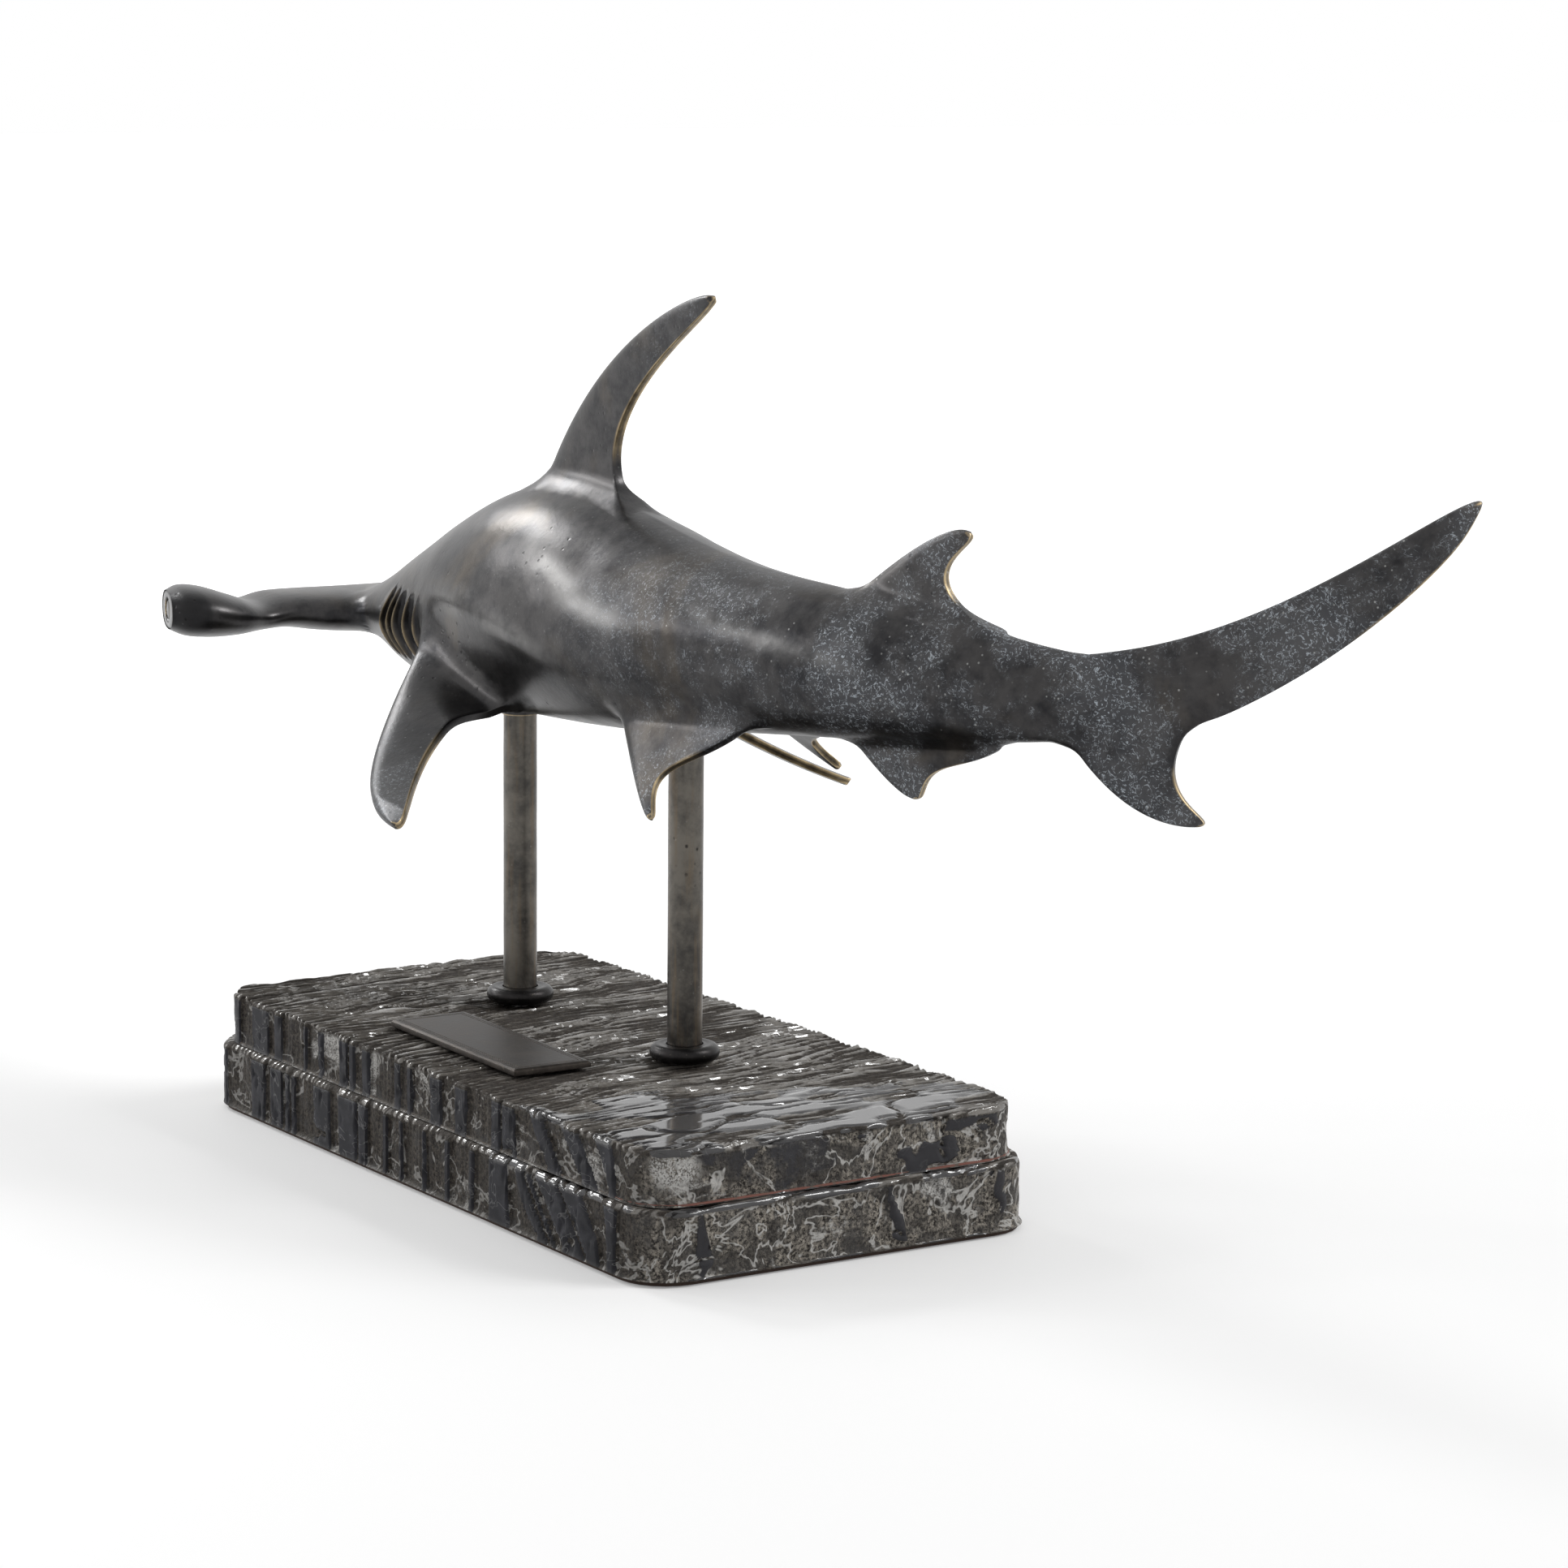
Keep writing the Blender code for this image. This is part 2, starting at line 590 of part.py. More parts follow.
def slanted(station, aside):
    """The hammer's ends slant forward: over the outer part of a wing, points further back lie
    further out."""
    reach, lead = HAMMER_STATIONS[-1, :2]
    share = np.clip((np.abs(aside) / reach - HAMMER_SLANT_FROM) / (1 - HAMMER_SLANT_FROM), 0.0, 1.0)
    return aside + np.sign(aside) * math.tan(HAMMER_SLANT) * (station - lead) * share**2


def hammer():
    """The head's wing: a loft across the body of blunt sections, thick in the middle and at the eyes."""
    reach = HAMMER_STATIONS[-1, 0]
    across = np.sin(np.linspace(-1.0, 1.0, HAMMER_RINGS) * math.pi / 2) * reach
    sizes = [smooth(HAMMER_STATIONS[:, 0], HAMMER_STATIONS[:, i], np.abs(across)) for i in range(1, 5)]
    angles = np.arange(HAMMER_SIDES) * 2 * math.pi / HAMMER_SIDES
    round_x = np.sign(np.cos(angles)) * np.abs(np.cos(angles)) ** 0.85
    round_z = np.sign(np.sin(angles)) * np.abs(np.sin(angles)) ** 0.85
    rings = []
    for aside, lead, trail, lift, thick in zip(across, *sizes):
        station = (lead + trail) / 2 + (trail - lead) / 2 * round_x
        rings.append(spine_place(station, slanted(station, aside), lift + thick / 2 * round_z))
    return loft("hammer", rings)


def eye_groove(side):
    """A ring cut into the hammer's end face, which leaves the eye standing inside it."""
    reach, lead, trail, lift, _ = HAMMER_STATIONS[-1]
    inner, outer = EYE_DIAMETER / 2, EYE_DIAMETER / 2 + EYE_GROOVE
    angles = np.arange(20) * 2 * math.pi / 20
    past = 2.0 * mm
    rings = []
    for radius, depth in ((inner, EYE_DEPTH), (outer, EYE_DEPTH), (outer, -past), (inner, -past)):
        station = (lead + trail) / 2 + radius * math.cos(HAMMER_SLANT) * np.cos(angles)
        rings.append(spine_place(station, slanted(station, side * reach) - side * depth,
                                 lift + radius * 0.8 * np.sin(angles)))
    return loft("eye_groove_" + ("right" if side > 0 else "left"), rings, ring_loop=True)


def mouth():
    """A crescent groove under the head, cut by a bent round bar."""
    arc = np.linspace(-1.0, 1.0, 13)
    aside = MOUTH_WIDTH / 2 * np.sin(arc * math.pi / 2)
    station = MOUTH_STATION + MOUTH_DEPTH * (1 - np.cos(arc * math.pi / 2))
    angles = np.arange(8) * math.pi / 4
    belly = body_size(np.array([MOUTH_STATION]))[1][0]
    rings = []
    for a, s, t in zip(aside, station, arc):
        radius = MOUTH_OPENING / 2 * (1 - 0.6 * t * t)
        rings.append(spine_place(s + radius * np.cos(angles), a, belly + radius * np.sin(angles)))
    return loft("mouth", rings)


def gill_slit(number, side):
    """A wedge-shaped cut that follows the skin: it deepens towards its steep rear wall, its ends are
    pointed and bend back, and a thin lip of skin is left between it and the next one."""
    first, last, top, bottom = GILL_SLITS[number]
    middle = (top + bottom) / 2
    rings = []
    for at in np.linspace(-1.0, 1.0, 7):
        angle = middle + at * (top - bottom) / 2
        fade = math.sqrt(max(1 - at * at, 0.02))
        station = first + GILL_BOW * ((angle - middle) / GILL_BOW_ANGLE) ** 2
        turned_angle = angle if side > 0 else math.pi - angle
        width, depth = (last - first) * (0.35 + 0.65 * fade), GILL_DEPTH * fade
        ring = []
        for share, sink in ((-0.25, -1.0 * mm), (0.75, depth), (1.0, 0.9 * depth), (1.0, -1.0 * mm)):
            place = np.array([station + share * width]), np.array([turned_angle])
            skin, normal = body_place(*place)[0], body_normal(*place)[0]
            if float(normal @ (skin - spine_place(place[0][0], 0.0, 0.0))) < 0:
                normal = -normal
            ring.append(skin - normal * sink)
        rings.append(ring)
    return loft("gill_%d_%s" % (number, "right" if side > 0 else "left"), rings)


def weld(place, x):
    """The fillet of metal where a post's top enters the belly."""
    low = belly_over_post(x) - WELD_DROP
    radius = POST_DIAMETER / 2 + CLEARANCE
    return turned(place + "_weld", [
        (radius + 0.8 * mm, low), (radius + WELD_REACH / 2, low + WELD_DROP * 0.6),
        (radius + WELD_REACH, low + WELD_DROP), (radius + WELD_REACH, low + WELD_DROP * 2),
    ], (x, POST_Y), 20)


def socket(place, x):
    """The blind bore that a post's top sits in."""
    radius = POST_DIAMETER / 2 + CLEARANCE
    low = belly_over_post(x)
    return turned(place + "_socket", [(radius, low - WELD_DROP * 3), (radius, low + POST_ENGAGEMENT)],
                  (x, POST_Y), 20)


def shark(bronze):
    """The casting: body, hammer and fins made one, then the cuts."""
    first, last = BODY_STATIONS[0, 0], BODY_STATIONS[-1, 0]
    angles = np.arange(BODY_SIDES) * 2 * math.pi / BODY_SIDES
    stations = np.linspace(first, last, BODY_RINGS)
    body = loft("shark_casting", [body_place(np.full(BODY_SIDES, s), angles) for s in stations], bronze)
    added = [
        hammer(),
        upright_fin("dorsal", DORSAL_STATION, DORSAL_LEAD, DORSAL_TRAIL, DORSAL_THICKNESS, True, spans=14,
                    flare=2.4),
        upright_fin("second_dorsal", SECOND_STATION, SECOND_LEAD, SECOND_TRAIL, SECOND_THICKNESS, True,
                    spans=9),
        upright_fin("anal", ANAL_STATION, ANAL_LEAD, ANAL_TRAIL, ANAL_THICKNESS, False, spans=9),
        lobe("upper_lobe", UPPER_LOBE_STATION, UPPER_LOBE_LEAD, UPPER_LOBE_TRAIL, UPPER_LOBE_THICKNESS, 1,
             spans=13, flare=0.8),
        lobe("lower_lobe", LOWER_LOBE_STATION, LOWER_LOBE_LEAD, LOWER_LOBE_TRAIL, LOWER_LOBE_THICKNESS, -1,
             spans=10, flare=0.8),
    ]
    for side, word in ((-1, "left"), (1, "right")):
        added.append(side_fin("pectoral_" + word, side, PECTORAL_STATION, PECTORAL_OUT, PECTORAL_HEIGHT,
                              PECTORAL_DROOP[side], PECTORAL_SPAN[side], PECTORAL_PITCH, PECTORAL_LEAD,
                              PECTORAL_TRAIL, PECTORAL_THICKNESS, spans=13, flare=0.5))
        added.append(side_fin("pelvic_" + word, side, PELVIC_STATION, PELVIC_OUT, PELVIC_HEIGHT,
                              PELVIC_DROOP[side], PELVIC_SPAN[side], PELVIC_PITCH, PELVIC_LEAD,
                              PELVIC_TRAIL, PELVIC_THICKNESS, spans=9, flare=0.8))
    for place, x in post_places().items():
        added.append(weld(place, x))
    for piece in added:
        combine(body, piece, "UNION")
    cuts = [mouth()]
    for side in (-1, 1):
        cuts.append(eye_groove(side))
        for number in range(len(GILL_SLITS)):
            cuts.append(gill_slit(number, side))
    for place, x in post_places().items():
        cuts.append(socket(place, x))
    for piece in cuts:
        combine(body, piece, "DIFFERENCE")
    return body


def main():
    clear_scene()
    bronze = finish("cast_bronze", (0.085, 0.078, 0.07), 0.38, 0.9)
    dark_bronze = finish("dark_bronze", (0.05, 0.045, 0.042), 0.32, 0.9)
    stone = finish("layered_stone", (0.09, 0.082, 0.076), 0.3, 0.0)
    resin = finish("red_adhesive", (0.22, 0.09, 0.07), 0.45, 0.0)
    steel = finish("zinc_steel", (0.45, 0.45, 0.44), 0.4, 1.0)
    felt = finish("brown_liner", (0.06, 0.04, 0.03), 0.95, 0.0)
    rounded_plate("base_liner", LOWER_LENGTH - 2 * LINER_INSET, LOWER_WIDTH - 2 * LINER_INSET,
                  CORNER_RADIUS - LINER_INSET, 0.0, LINER_THICKNESS, felt)
    base_stone(stone)
    joint_bed(resin)
    name_plate(dark_bronze)
    for place, x in post_places().items():
        post(place, x, bronze)
        collar(place, x, dark_bronze)
        fixing(place, x, steel)
    shark(bronze)


main()
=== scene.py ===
import math

import bmesh
import bpy
import numpy as np
from mathutils import Matrix, Vector


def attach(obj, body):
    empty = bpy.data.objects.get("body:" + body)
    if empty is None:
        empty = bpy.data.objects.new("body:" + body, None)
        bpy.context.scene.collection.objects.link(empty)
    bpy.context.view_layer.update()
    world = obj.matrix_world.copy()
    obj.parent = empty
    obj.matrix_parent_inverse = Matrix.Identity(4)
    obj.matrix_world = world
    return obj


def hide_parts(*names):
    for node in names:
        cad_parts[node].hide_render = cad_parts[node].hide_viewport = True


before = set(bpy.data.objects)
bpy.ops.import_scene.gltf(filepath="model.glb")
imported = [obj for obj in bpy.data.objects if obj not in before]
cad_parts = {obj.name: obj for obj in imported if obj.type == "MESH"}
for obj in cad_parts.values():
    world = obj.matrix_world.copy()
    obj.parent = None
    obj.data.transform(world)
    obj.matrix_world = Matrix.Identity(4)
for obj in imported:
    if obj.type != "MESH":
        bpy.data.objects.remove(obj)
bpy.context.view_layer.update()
mm = 0.001

# All shapes are worked out in millimetres in the part's frame: the head points to -X, the plate
# lies on the -Y side, and the base's underside is at height zero.


def smoothCurve(knots, values, at):
    # cubic curve through the knots whose slope at a knot is the mean of the slopes beside it
    knots, values = np.asarray(knots, float), np.asarray(values, float)
    at = np.clip(at, knots[0], knots[-1])
    steps = np.diff(knots)
    chords = np.diff(values) / steps
    slopes = np.concatenate([chords[:1], (chords[1:] + chords[:-1]) / 2, chords[-1:]])
    cell = np.clip(np.searchsorted(knots, at, side="right") - 1, 0, len(knots) - 2)
    part = (at - knots[cell]) / steps[cell]
    low, high = values[cell], values[cell + 1]
    lowSlope, highSlope = slopes[cell] * steps[cell], slopes[cell + 1] * steps[cell]
    return (low * (2 * part**3 - 3 * part**2 + 1) + lowSlope * (part**3 - 2 * part**2 + part)
            + high * (3 * part**2 - 2 * part**3) + highSlope * (part**3 - part**2))


def cubicCurve(points, at):
    # Bezier curve of four points
    at = np.asarray(at, float)[:, None]
    weights = ((1 - at) ** 3, 3 * at * (1 - at) ** 2, 3 * at**2 * (1 - at), at**3)
    return sum(weight * np.asarray(point, float) for weight, point in zip(weights, points))


def ease(value, low, high):
    # 0 below low, 1 above high, and 3t^2 - 2t^3 between them
    part = np.clip((value - low) / (high - low), 0, 1)
    return part * part * (3 - 2 * part)


def latticeValue(ix, iy, iz, seed):
    # a number from -1 to 1 for each whole-numbered place
    mixed = (ix * 73856093) ^ (iy * 19349663) ^ (iz * 83492791) ^ (seed * 265443576)
    mixed = ((mixed ^ (mixed >> 13)) * 1274126177) & 0x7FFFFFFF
    mixed = ((mixed ^ (mixed >> 16)) * 668265263) & 0x7FFFFFFF
    return (mixed % 100003) / 50001.5 - 1


def softNoise(x, y, z, seed):
    # value noise: lattice values joined by eased steps along each axis
    x, y, z = np.broadcast_arrays(np.asarray(x, float), y, z)
    cell = [np.floor(c).astype(np.int64) for c in (x, y, z)]
    part = [c - f for c, f in zip((x, y, z), cell)]
    part = [p * p * (3 - 2 * p) for p in part]
    total = 0
    for dx in (0, 1):
        for dy in (0, 1):
            for dz in (0, 1):
                weight = ((part[0] if dx else 1 - part[0]) * (part[1] if dy else 1 - part[1])
                          * (part[2] if dz else 1 - part[2]))
                total = total + weight * latticeValue(cell[0] + dx, cell[1] + dy, cell[2] + dz, seed)
    return total


def addObject(name, data):
    thing = bpy.data.objects.new(name, data)
    bpy.context.scene.collection.objects.link(thing)
    return thing


def closedMesh(name, points, faces, sharpAngle=None, edge=None):
    # points in millimetres; doubles merge, so rows drawn to one place become poles and seams close
    mesh = bpy.data.meshes.new(name)
    points = np.asarray(points, np.float32).reshape(-1, 3) * np.float32(mm)
    mesh.vertices.add(len(points))
    mesh.vertices.foreach_set("co", points.ravel())
    mesh.loops.add(faces.size)
    mesh.loops.foreach_set("vertex_index", faces.ravel().astype(np.int32))
    mesh.polygons.add(len(faces))
    mesh.polygons.foreach_set("loop_start", np.arange(len(faces), dtype=np.int32) * faces.shape[1])
    mesh.update(calc_edges=True)
    marks = np.zeros(len(points), np.float32) if edge is None else np.asarray(edge, np.float32).ravel()
    mesh.attributes.new("edge", "FLOAT", "POINT").data.foreach_set("value", marks)
    bm = bmesh.new()
    bm.from_mesh(mesh)
    bmesh.ops.remove_doubles(bm, verts=bm.verts, dist=2e-6)
    bmesh.ops.dissolve_degenerate(bm, dist=1e-7, edges=bm.edges)
    bmesh.ops.recalc_face_normals(bm, faces=bm.faces)
    bm.to_mesh(mesh)
    bm.free()
    mesh.shade_smooth()
    if sharpAngle:
        mesh.set_sharp_from_angle(angle=math.radians(sharpAngle))
    return addObject(name, mesh)


def gridFaces(rows, columns, loopRows=False):
    # quads between neighbouring rows, whose last column meets the first
    index = np.arange(rows * columns).reshape(rows, columns)
    if loopRows:
        index = np.vstack([index, index[:1]])
    here, there = index[:-1], index[1:]
    return np.stack([here, np.roll(here, -1, 1), np.roll(there, -1, 1), there], axis=-1).reshape(-1, 4)


def gridPiece(name, grid, loopRows=False, sharpAngle=None, edge=None):
    rows, columns, _ = grid.shape
    return closedMesh(name, grid, gridFaces(rows, columns, loopRows), sharpAngle, edge)


def withPoles(rings):
    # a row at the middle of the first ring and of the last one closes both ends
    first, last = rings[:1].mean(axis=1, keepdims=True), rings[-1:].mean(axis=1, keepdims=True)
    return np.concatenate([np.broadcast_to(first, rings[:1].shape), rings,
                           np.broadcast_to(last, rings[-1:].shape)])


def turnedPiece(name, profile, centre, columns, loopRows=False, sharpAngle=None, unevenness=0.0, seed=0):
    # (radius, height) pairs carried round the vertical through centre
    profile = np.asarray(profile, float)
    turn = np.arange(columns) * 2 * math.pi / columns
    radius = profile[:, :1] + unevenness * softNoise(np.cos(turn)[None] * 2, np.sin(turn)[None] * 2,
                                                     profile[:, 1:] / 9, seed) * (profile[:, :1] > 0.1)
    grid = np.stack([centre[0] + radius * np.cos(turn), centre[1] + radius * np.sin(turn),
                     np.broadcast_to(profile[:, 1:], radius.shape)], axis=-1)
    return gridPiece(name, grid, loopRows, sharpAngle)


def borer(name, radius, low, high, place, columns):
    # a plain round bar on a post's axis, cut out of a piece to make a hole
    return turnedPiece(name, [(0, low), (radius, low), (radius, high), (0, high)],
                       (posts[place], posts["y"]), columns)


def applyModifiers(thing):
    graph = bpy.context.evaluated_depsgraph_get()
    fresh = bpy.data.meshes.new_from_object(thing.evaluated_get(graph))
    thing.modifiers.clear()
    thing.data = fresh


def combine(target, others, operation):
    # union or difference of closed forms, which are deleted once used
    for other in others:
        step = target.modifiers.new(other.name, "BOOLEAN")
        step.operation = operation
        step.solver = "MANIFOLD"
        step.object = other
    applyModifiers(target)
    for other in others:
        bpy.data.objects.remove(other, do_unlink=True)


def meshArrays(mesh):
    points = np.empty(len(mesh.vertices) * 3, np.float32)
    mesh.vertices.foreach_get("co", points)
    edges = np.empty(len(mesh.edges) * 2, np.int32)
    mesh.edges.foreach_get("vertices", edges)
    normals = np.empty(len(mesh.vertices) * 3, np.float32)
    mesh.vertex_normals.foreach_get("vector", normals)
    return points.reshape(-1, 3) / mm, edges.reshape(-1, 2), normals.reshape(-1, 3)


def neighbourMean(values, edges, count):
    # mean of the values at the other ends of each point's edges
    one, two = edges[:, 0], edges[:, 1]
    number = np.maximum(np.bincount(one, minlength=count) + np.bincount(two, minlength=count), 1)
    if values.ndim == 1:
        total = np.bincount(one, values[two], count) + np.bincount(two, values[one], count)
        return total / number
    return np.stack([neighbourMean(values[:, i], edges, count) for i in range(values.shape[1])], axis=-1)


def relax(thing, weight, rounds):
    # each point moves towards its neighbours' mean by its weight, again and again
    points, edges, _ = meshArrays(thing.data)
    for _ in range(rounds):
        points = points + (neighbourMean(points, edges, len(points)) - points) * weight[:, None]
    thing.data.vertices.foreach_set("co", (points * mm).astype(np.float32).ravel())
    thing.data.update()


def bendOf(thing, rounds=2):
    # how sharply the surface bends, in 1/mm: above zero on edges, below zero in grooves
    points, edges, normals = meshArrays(thing.data)
    count = len(points)
    shift = neighbourMean(points, edges, count) - points
    length = np.linalg.norm(points[edges[:, 0]] - points[edges[:, 1]], axis=1)
    number = np.bincount(edges[:, 0], minlength=count) + np.bincount(edges[:, 1], minlength=count)
    spacing = ((np.bincount(edges[:, 0], length, count) + np.bincount(edges[:, 1], length, count))
               / np.maximum(number, 1))
    bend = -2 * (shift * normals).sum(axis=1) / np.maximum(spacing, 0.15) ** 2
    for _ in range(rounds):
        bend = (bend + neighbourMean(bend, edges, count)) / 2
    return bend


def readValues(thing, name):
    values = np.empty(len(thing.data.vertices), np.float32)
    thing.data.attributes[name].data.foreach_get("value", values)
    return values


def keepValues(thing, name, values):
    attribute = thing.data.attributes.get(name) or thing.data.attributes.new(name, "FLOAT", "POINT")
    attribute.data.foreach_set("value", np.asarray(values, np.float32))


# The shark: measures in millimetres, angles in degrees unless said otherwise

spine = {"height": 180.0, "noseX": -205.0, "y": 7.6, "sweepStart": 200.0, "sweepEnd": 470.0,
         "sweep": math.radians(42.0)}
body = {
    # distance from the nose, back, belly, half width
    "stations": np.array([
        (10, 0, -8, 8), (20, 2.5, -11.5, 15), (34, 4.5, -13, 17.5), (50, 9, -14, 19),
        (74, 21, -22.5, 23.5), (98, 32.5, -27.5, 28), (122, 43, -28.6, 32), (150, 51.5, -29, 35),
        (185, 53, -28, 36), (221, 47.5, -26, 35), (247, 42.5, -23.5, 32.5), (275, 38, -20, 29),
        (300, 35.5, -17.5, 25), (330, 33.5, -15, 20.5), (360, 30.5, -12.5, 16), (390, 26, -10, 11.5),
        (410, 22.5, -8, 8), (430, 20, -6, 4.5), (446, 18, -4, 2)], float),
    "columns": 168, "middle": 0.47, "upPower": 1.12, "lowPower": 0.86,
}
gills = {
    # start and end along the body, top and bottom angle
    "slits": ((71.8, 77.8, 24, -38), (79.0, 84.4, 21, -37), (85.7, 95.3, 17, -36), (96.7, 105.8, 12, -34),
              (107.2, 115.0, 6, -30)),
    "depth": 3.6, "lip": 0.7, "bow": 16.0, "bowMiddle": -9.0,
}
hammer = {
    # distance from the middle, leading edge, trailing edge, height, thickness
    "stations": np.array([
        (0, 2, 58, -5, 16), (14, 0.5, 54, -5, 15.5), (28, 0.5, 47, -4.6, 14.5), (41, 2, 41.5, -4, 12.5),
        (52, 3.5, 41, -5.2, 11), (64, 5.5, 47, -3.8, 15.2), (73, 7, 49, -2.1, 18.2),
        (79, 9.5, 46, -1.3, 17.6), (82.5, 13.5, 40, -1, 14)], float),
    "eyeRadius": 4.5, "eyeDepth": 0.9, "slant": math.radians(18.0), "slantFrom": 0.7,
}
uprightFins = {
    "dorsal": {"station": 150, "lead": [(-5, -12), (17, 32), (60, 62), (110, 74)],
               "trail": [(72, -12), (26, 12), (60, 40), (112, 69)], "thickness": 5.2, "fillet": 7.0,
               "above": True, "rows": 84},
    "secondDorsal": {"station": 330, "lead": [(-5, -8), (19, 7), (34, 20.5), (52, 24)],
                     "trail": [(66, -10), (44, 0), (36, 8), (55, 20)], "thickness": 4.2, "fillet": 5.0,
                     "above": True, "rows": 56},
    "anal": {"station": 328, "lead": [(-4, -8), (10, 1), (22, 13), (34, 16.5)],
             "trail": [(71, -6), (57, 6), (39, 1), (38, 15)], "thickness": 4.0, "fillet": 4.0,
             "above": False, "rows": 48},
}
tailLobes = {
    "upperLobe": {"station": 410, "lead": [(-18, 20), (48, 16), (90, 46), (138, 76.5)],
                  "trail": [(20, -9), (70.5, -0.5), (121.5, 43), (136, 67)], "thickness": 6.0, "way": 1,
                  "rows": 104, "bar": 0.36, "wornFrom": 0.36},
    "lowerLobe": {"station": 410, "lead": [(-8, -14), (13, 9), (24, 30), (52, 31.5)],
                  "trail": [(64, -16), (43, 2), (38, 19), (57, 29)], "thickness": 4.6, "way": -1, "rows": 60,
                  "wornFrom": 0.36},
}
sideFins = {
    "pectoral": {"station": 119, "lead": [(-8, -13.8), (19.5, 28), (49, 67.5), (92, 78.5)],
                 "trail": [(60.5, -13.7), (38, 13), (62.5, 46), (103, 75.5)], "thickness": 5.0,
                 "fillet": 6.5, "rootPitch": 9.0, "out": 31.5, "height": -3.1, "pitch": (16.6, 3.5),
                 "droop": {-1: 34.0, 1: 38.0}, "wornFrom": 0.3, "span": {-1: 1.0, 1: 0.9}, "rows": 84},
    "pelvic": {"station": 238, "lead": [(-18.4, -10.1), (5.9, 4.7), (22.5, 25), (39.6, 35.3)],
               "trail": [(69.2, -10.4), (54.2, 11.9), (24.8, 15.5), (40.7, 31.4)], "thickness": 4.4,
               "fillet": 3.5, "out": 21.0, "height": -9.5, "pitch": (8.7, 8.7), "droop": {-1: 64.0, 1: 43.5},
               "span": {-1: 1.0, 1: 0.85}, "rows": 56},
}
twistReach = 70.0
finEdge = 2.4


def heading(station):
    # turns by the sweep times the square of the share of the tail that is behind
    part = np.clip((station - spine["sweepStart"]) / (spine["sweepEnd"] - spine["sweepStart"]), 0, 1)
    return spine["sweep"] * part**2


spineWalk = np.linspace(0, 700, 2801)
spineTurn = heading(spineWalk)
spineX, spineY = [start + np.concatenate([[0], np.cumsum((part[1:] + part[:-1]) / 2)]) * 0.25
                  for start, part in ((spine["noseX"], np.cos(spineTurn)), (spine["y"], np.sin(spineTurn)))]


def spinePlace(station, aside, height):
    # the spine's point at that distance, moved aside across its heading, and up
    station, aside, height = np.broadcast_arrays(np.asarray(station, float), aside, height)
    turned = heading(station)
    return np.stack([np.interp(station, spineWalk, spineX) - aside * np.sin(turned),
                     np.interp(station, spineWalk, spineY) + aside * np.cos(turned),
                     spine["height"] + height], axis=-1)


def bodySize(station):
    # back, belly and half width, read off smooth curves along the body
    return [smoothCurve(body["stations"][:, 0], body["stations"][:, i], station) for i in (1, 2, 3)]


def sectionShape(station):
    # back, belly, half width, and the height at which the section is widest
    back, belly, half = bodySize(station)
    return back, belly, half, belly + body["middle"] * (back - belly)


def sectionPower(up):
    # how full the oval is above and below its widest height
    return np.where(up > 0, body["upPower"], body["lowPower"])


def bodyDistance(station, aside, height):
    # about how far a point stands off the skin: its reach from the middle less the skin's
    back, belly, half, middle = sectionShape(station)
    up = height - middle
    rise = np.abs(up) / np.where(up > 0, back - middle, middle - belly)
    out = (np.abs(aside) / half) ** (1 / sectionPower(up))
    share = np.sqrt(rise**2 + out**2)
    return np.hypot(up, aside) * (1 - 1 / np.maximum(share, 0.05))


def filletSwell(distance, radius):
    # the blade widens towards the skin along a curve that meets it at an angle
    return 0.62 * radius * (1 - np.clip(distance, -0.2 * radius, radius) / radius) ** 2.1


def bodyRows():
    # close rows over the gills, wider ones elsewhere
    rows = [np.linspace(10, 66, 34)]
    for start, end, _, _ in gills["slits"]:
        rows.append(start + np.array([-0.75, -0.5, -0.3, -0.12, 0.1, 0.3, 0.55]))
        rows.append(np.linspace(start + 0.9, end - 0.75, 7))
        rows.append(end + np.array([-0.5, -0.3, -0.12, 0.05, 0.2]))
    rows.append(np.linspace(116, 134, 16))
    rows.append(np.linspace(135.5, 446, 176))
    return np.unique(np.round(np.concatenate(rows), 2))


def gillBow(side):
    # how far back a slit lies at this angle up the side, against its foremost point
    return gills["bow"] * (1 - np.exp(-0.83 * ((side - gills["bowMiddle"]) / 30) ** 2))


def bowShare(row):
    # the sections lean back with the slits only along the gills
    return ease(row, 40, 70) * (1 - ease(row, 116, 166))


def gillShape(row, side):
    # how deep the slits go, how dark they are inside, and where their thin lips stand
    sink, shade, lip = np.zeros_like(row), np.zeros_like(row), np.zeros_like(row)
    for start, end, top, bottom in gills["slits"]:
        fade = np.sqrt(np.clip(1 - ((side - (top + bottom) / 2) / ((top - bottom) / 2)) ** 2, 0, 1))
        share = (row - start) / np.maximum((end - start) * (0.4 + 0.6 * fade), 0.1)
        inside = (share > 0) * (share < 1) * fade
        cut = ease(share, 0, 0.12) * (0.45 + 0.55 * np.clip(share, 0, 1)) * (1 - ease(share, 0.9, 1.0))
        edge = fade * np.exp(-(((row - start + 0.35) / 0.45) ** 2))
        sink += gills["depth"] * inside * cut - gills["lip"] * edge
        shade = np.maximum(shade, inside * ease(share, 0.02, 0.4))
        lip = np.maximum(lip, edge)
    return sink, shade, lip


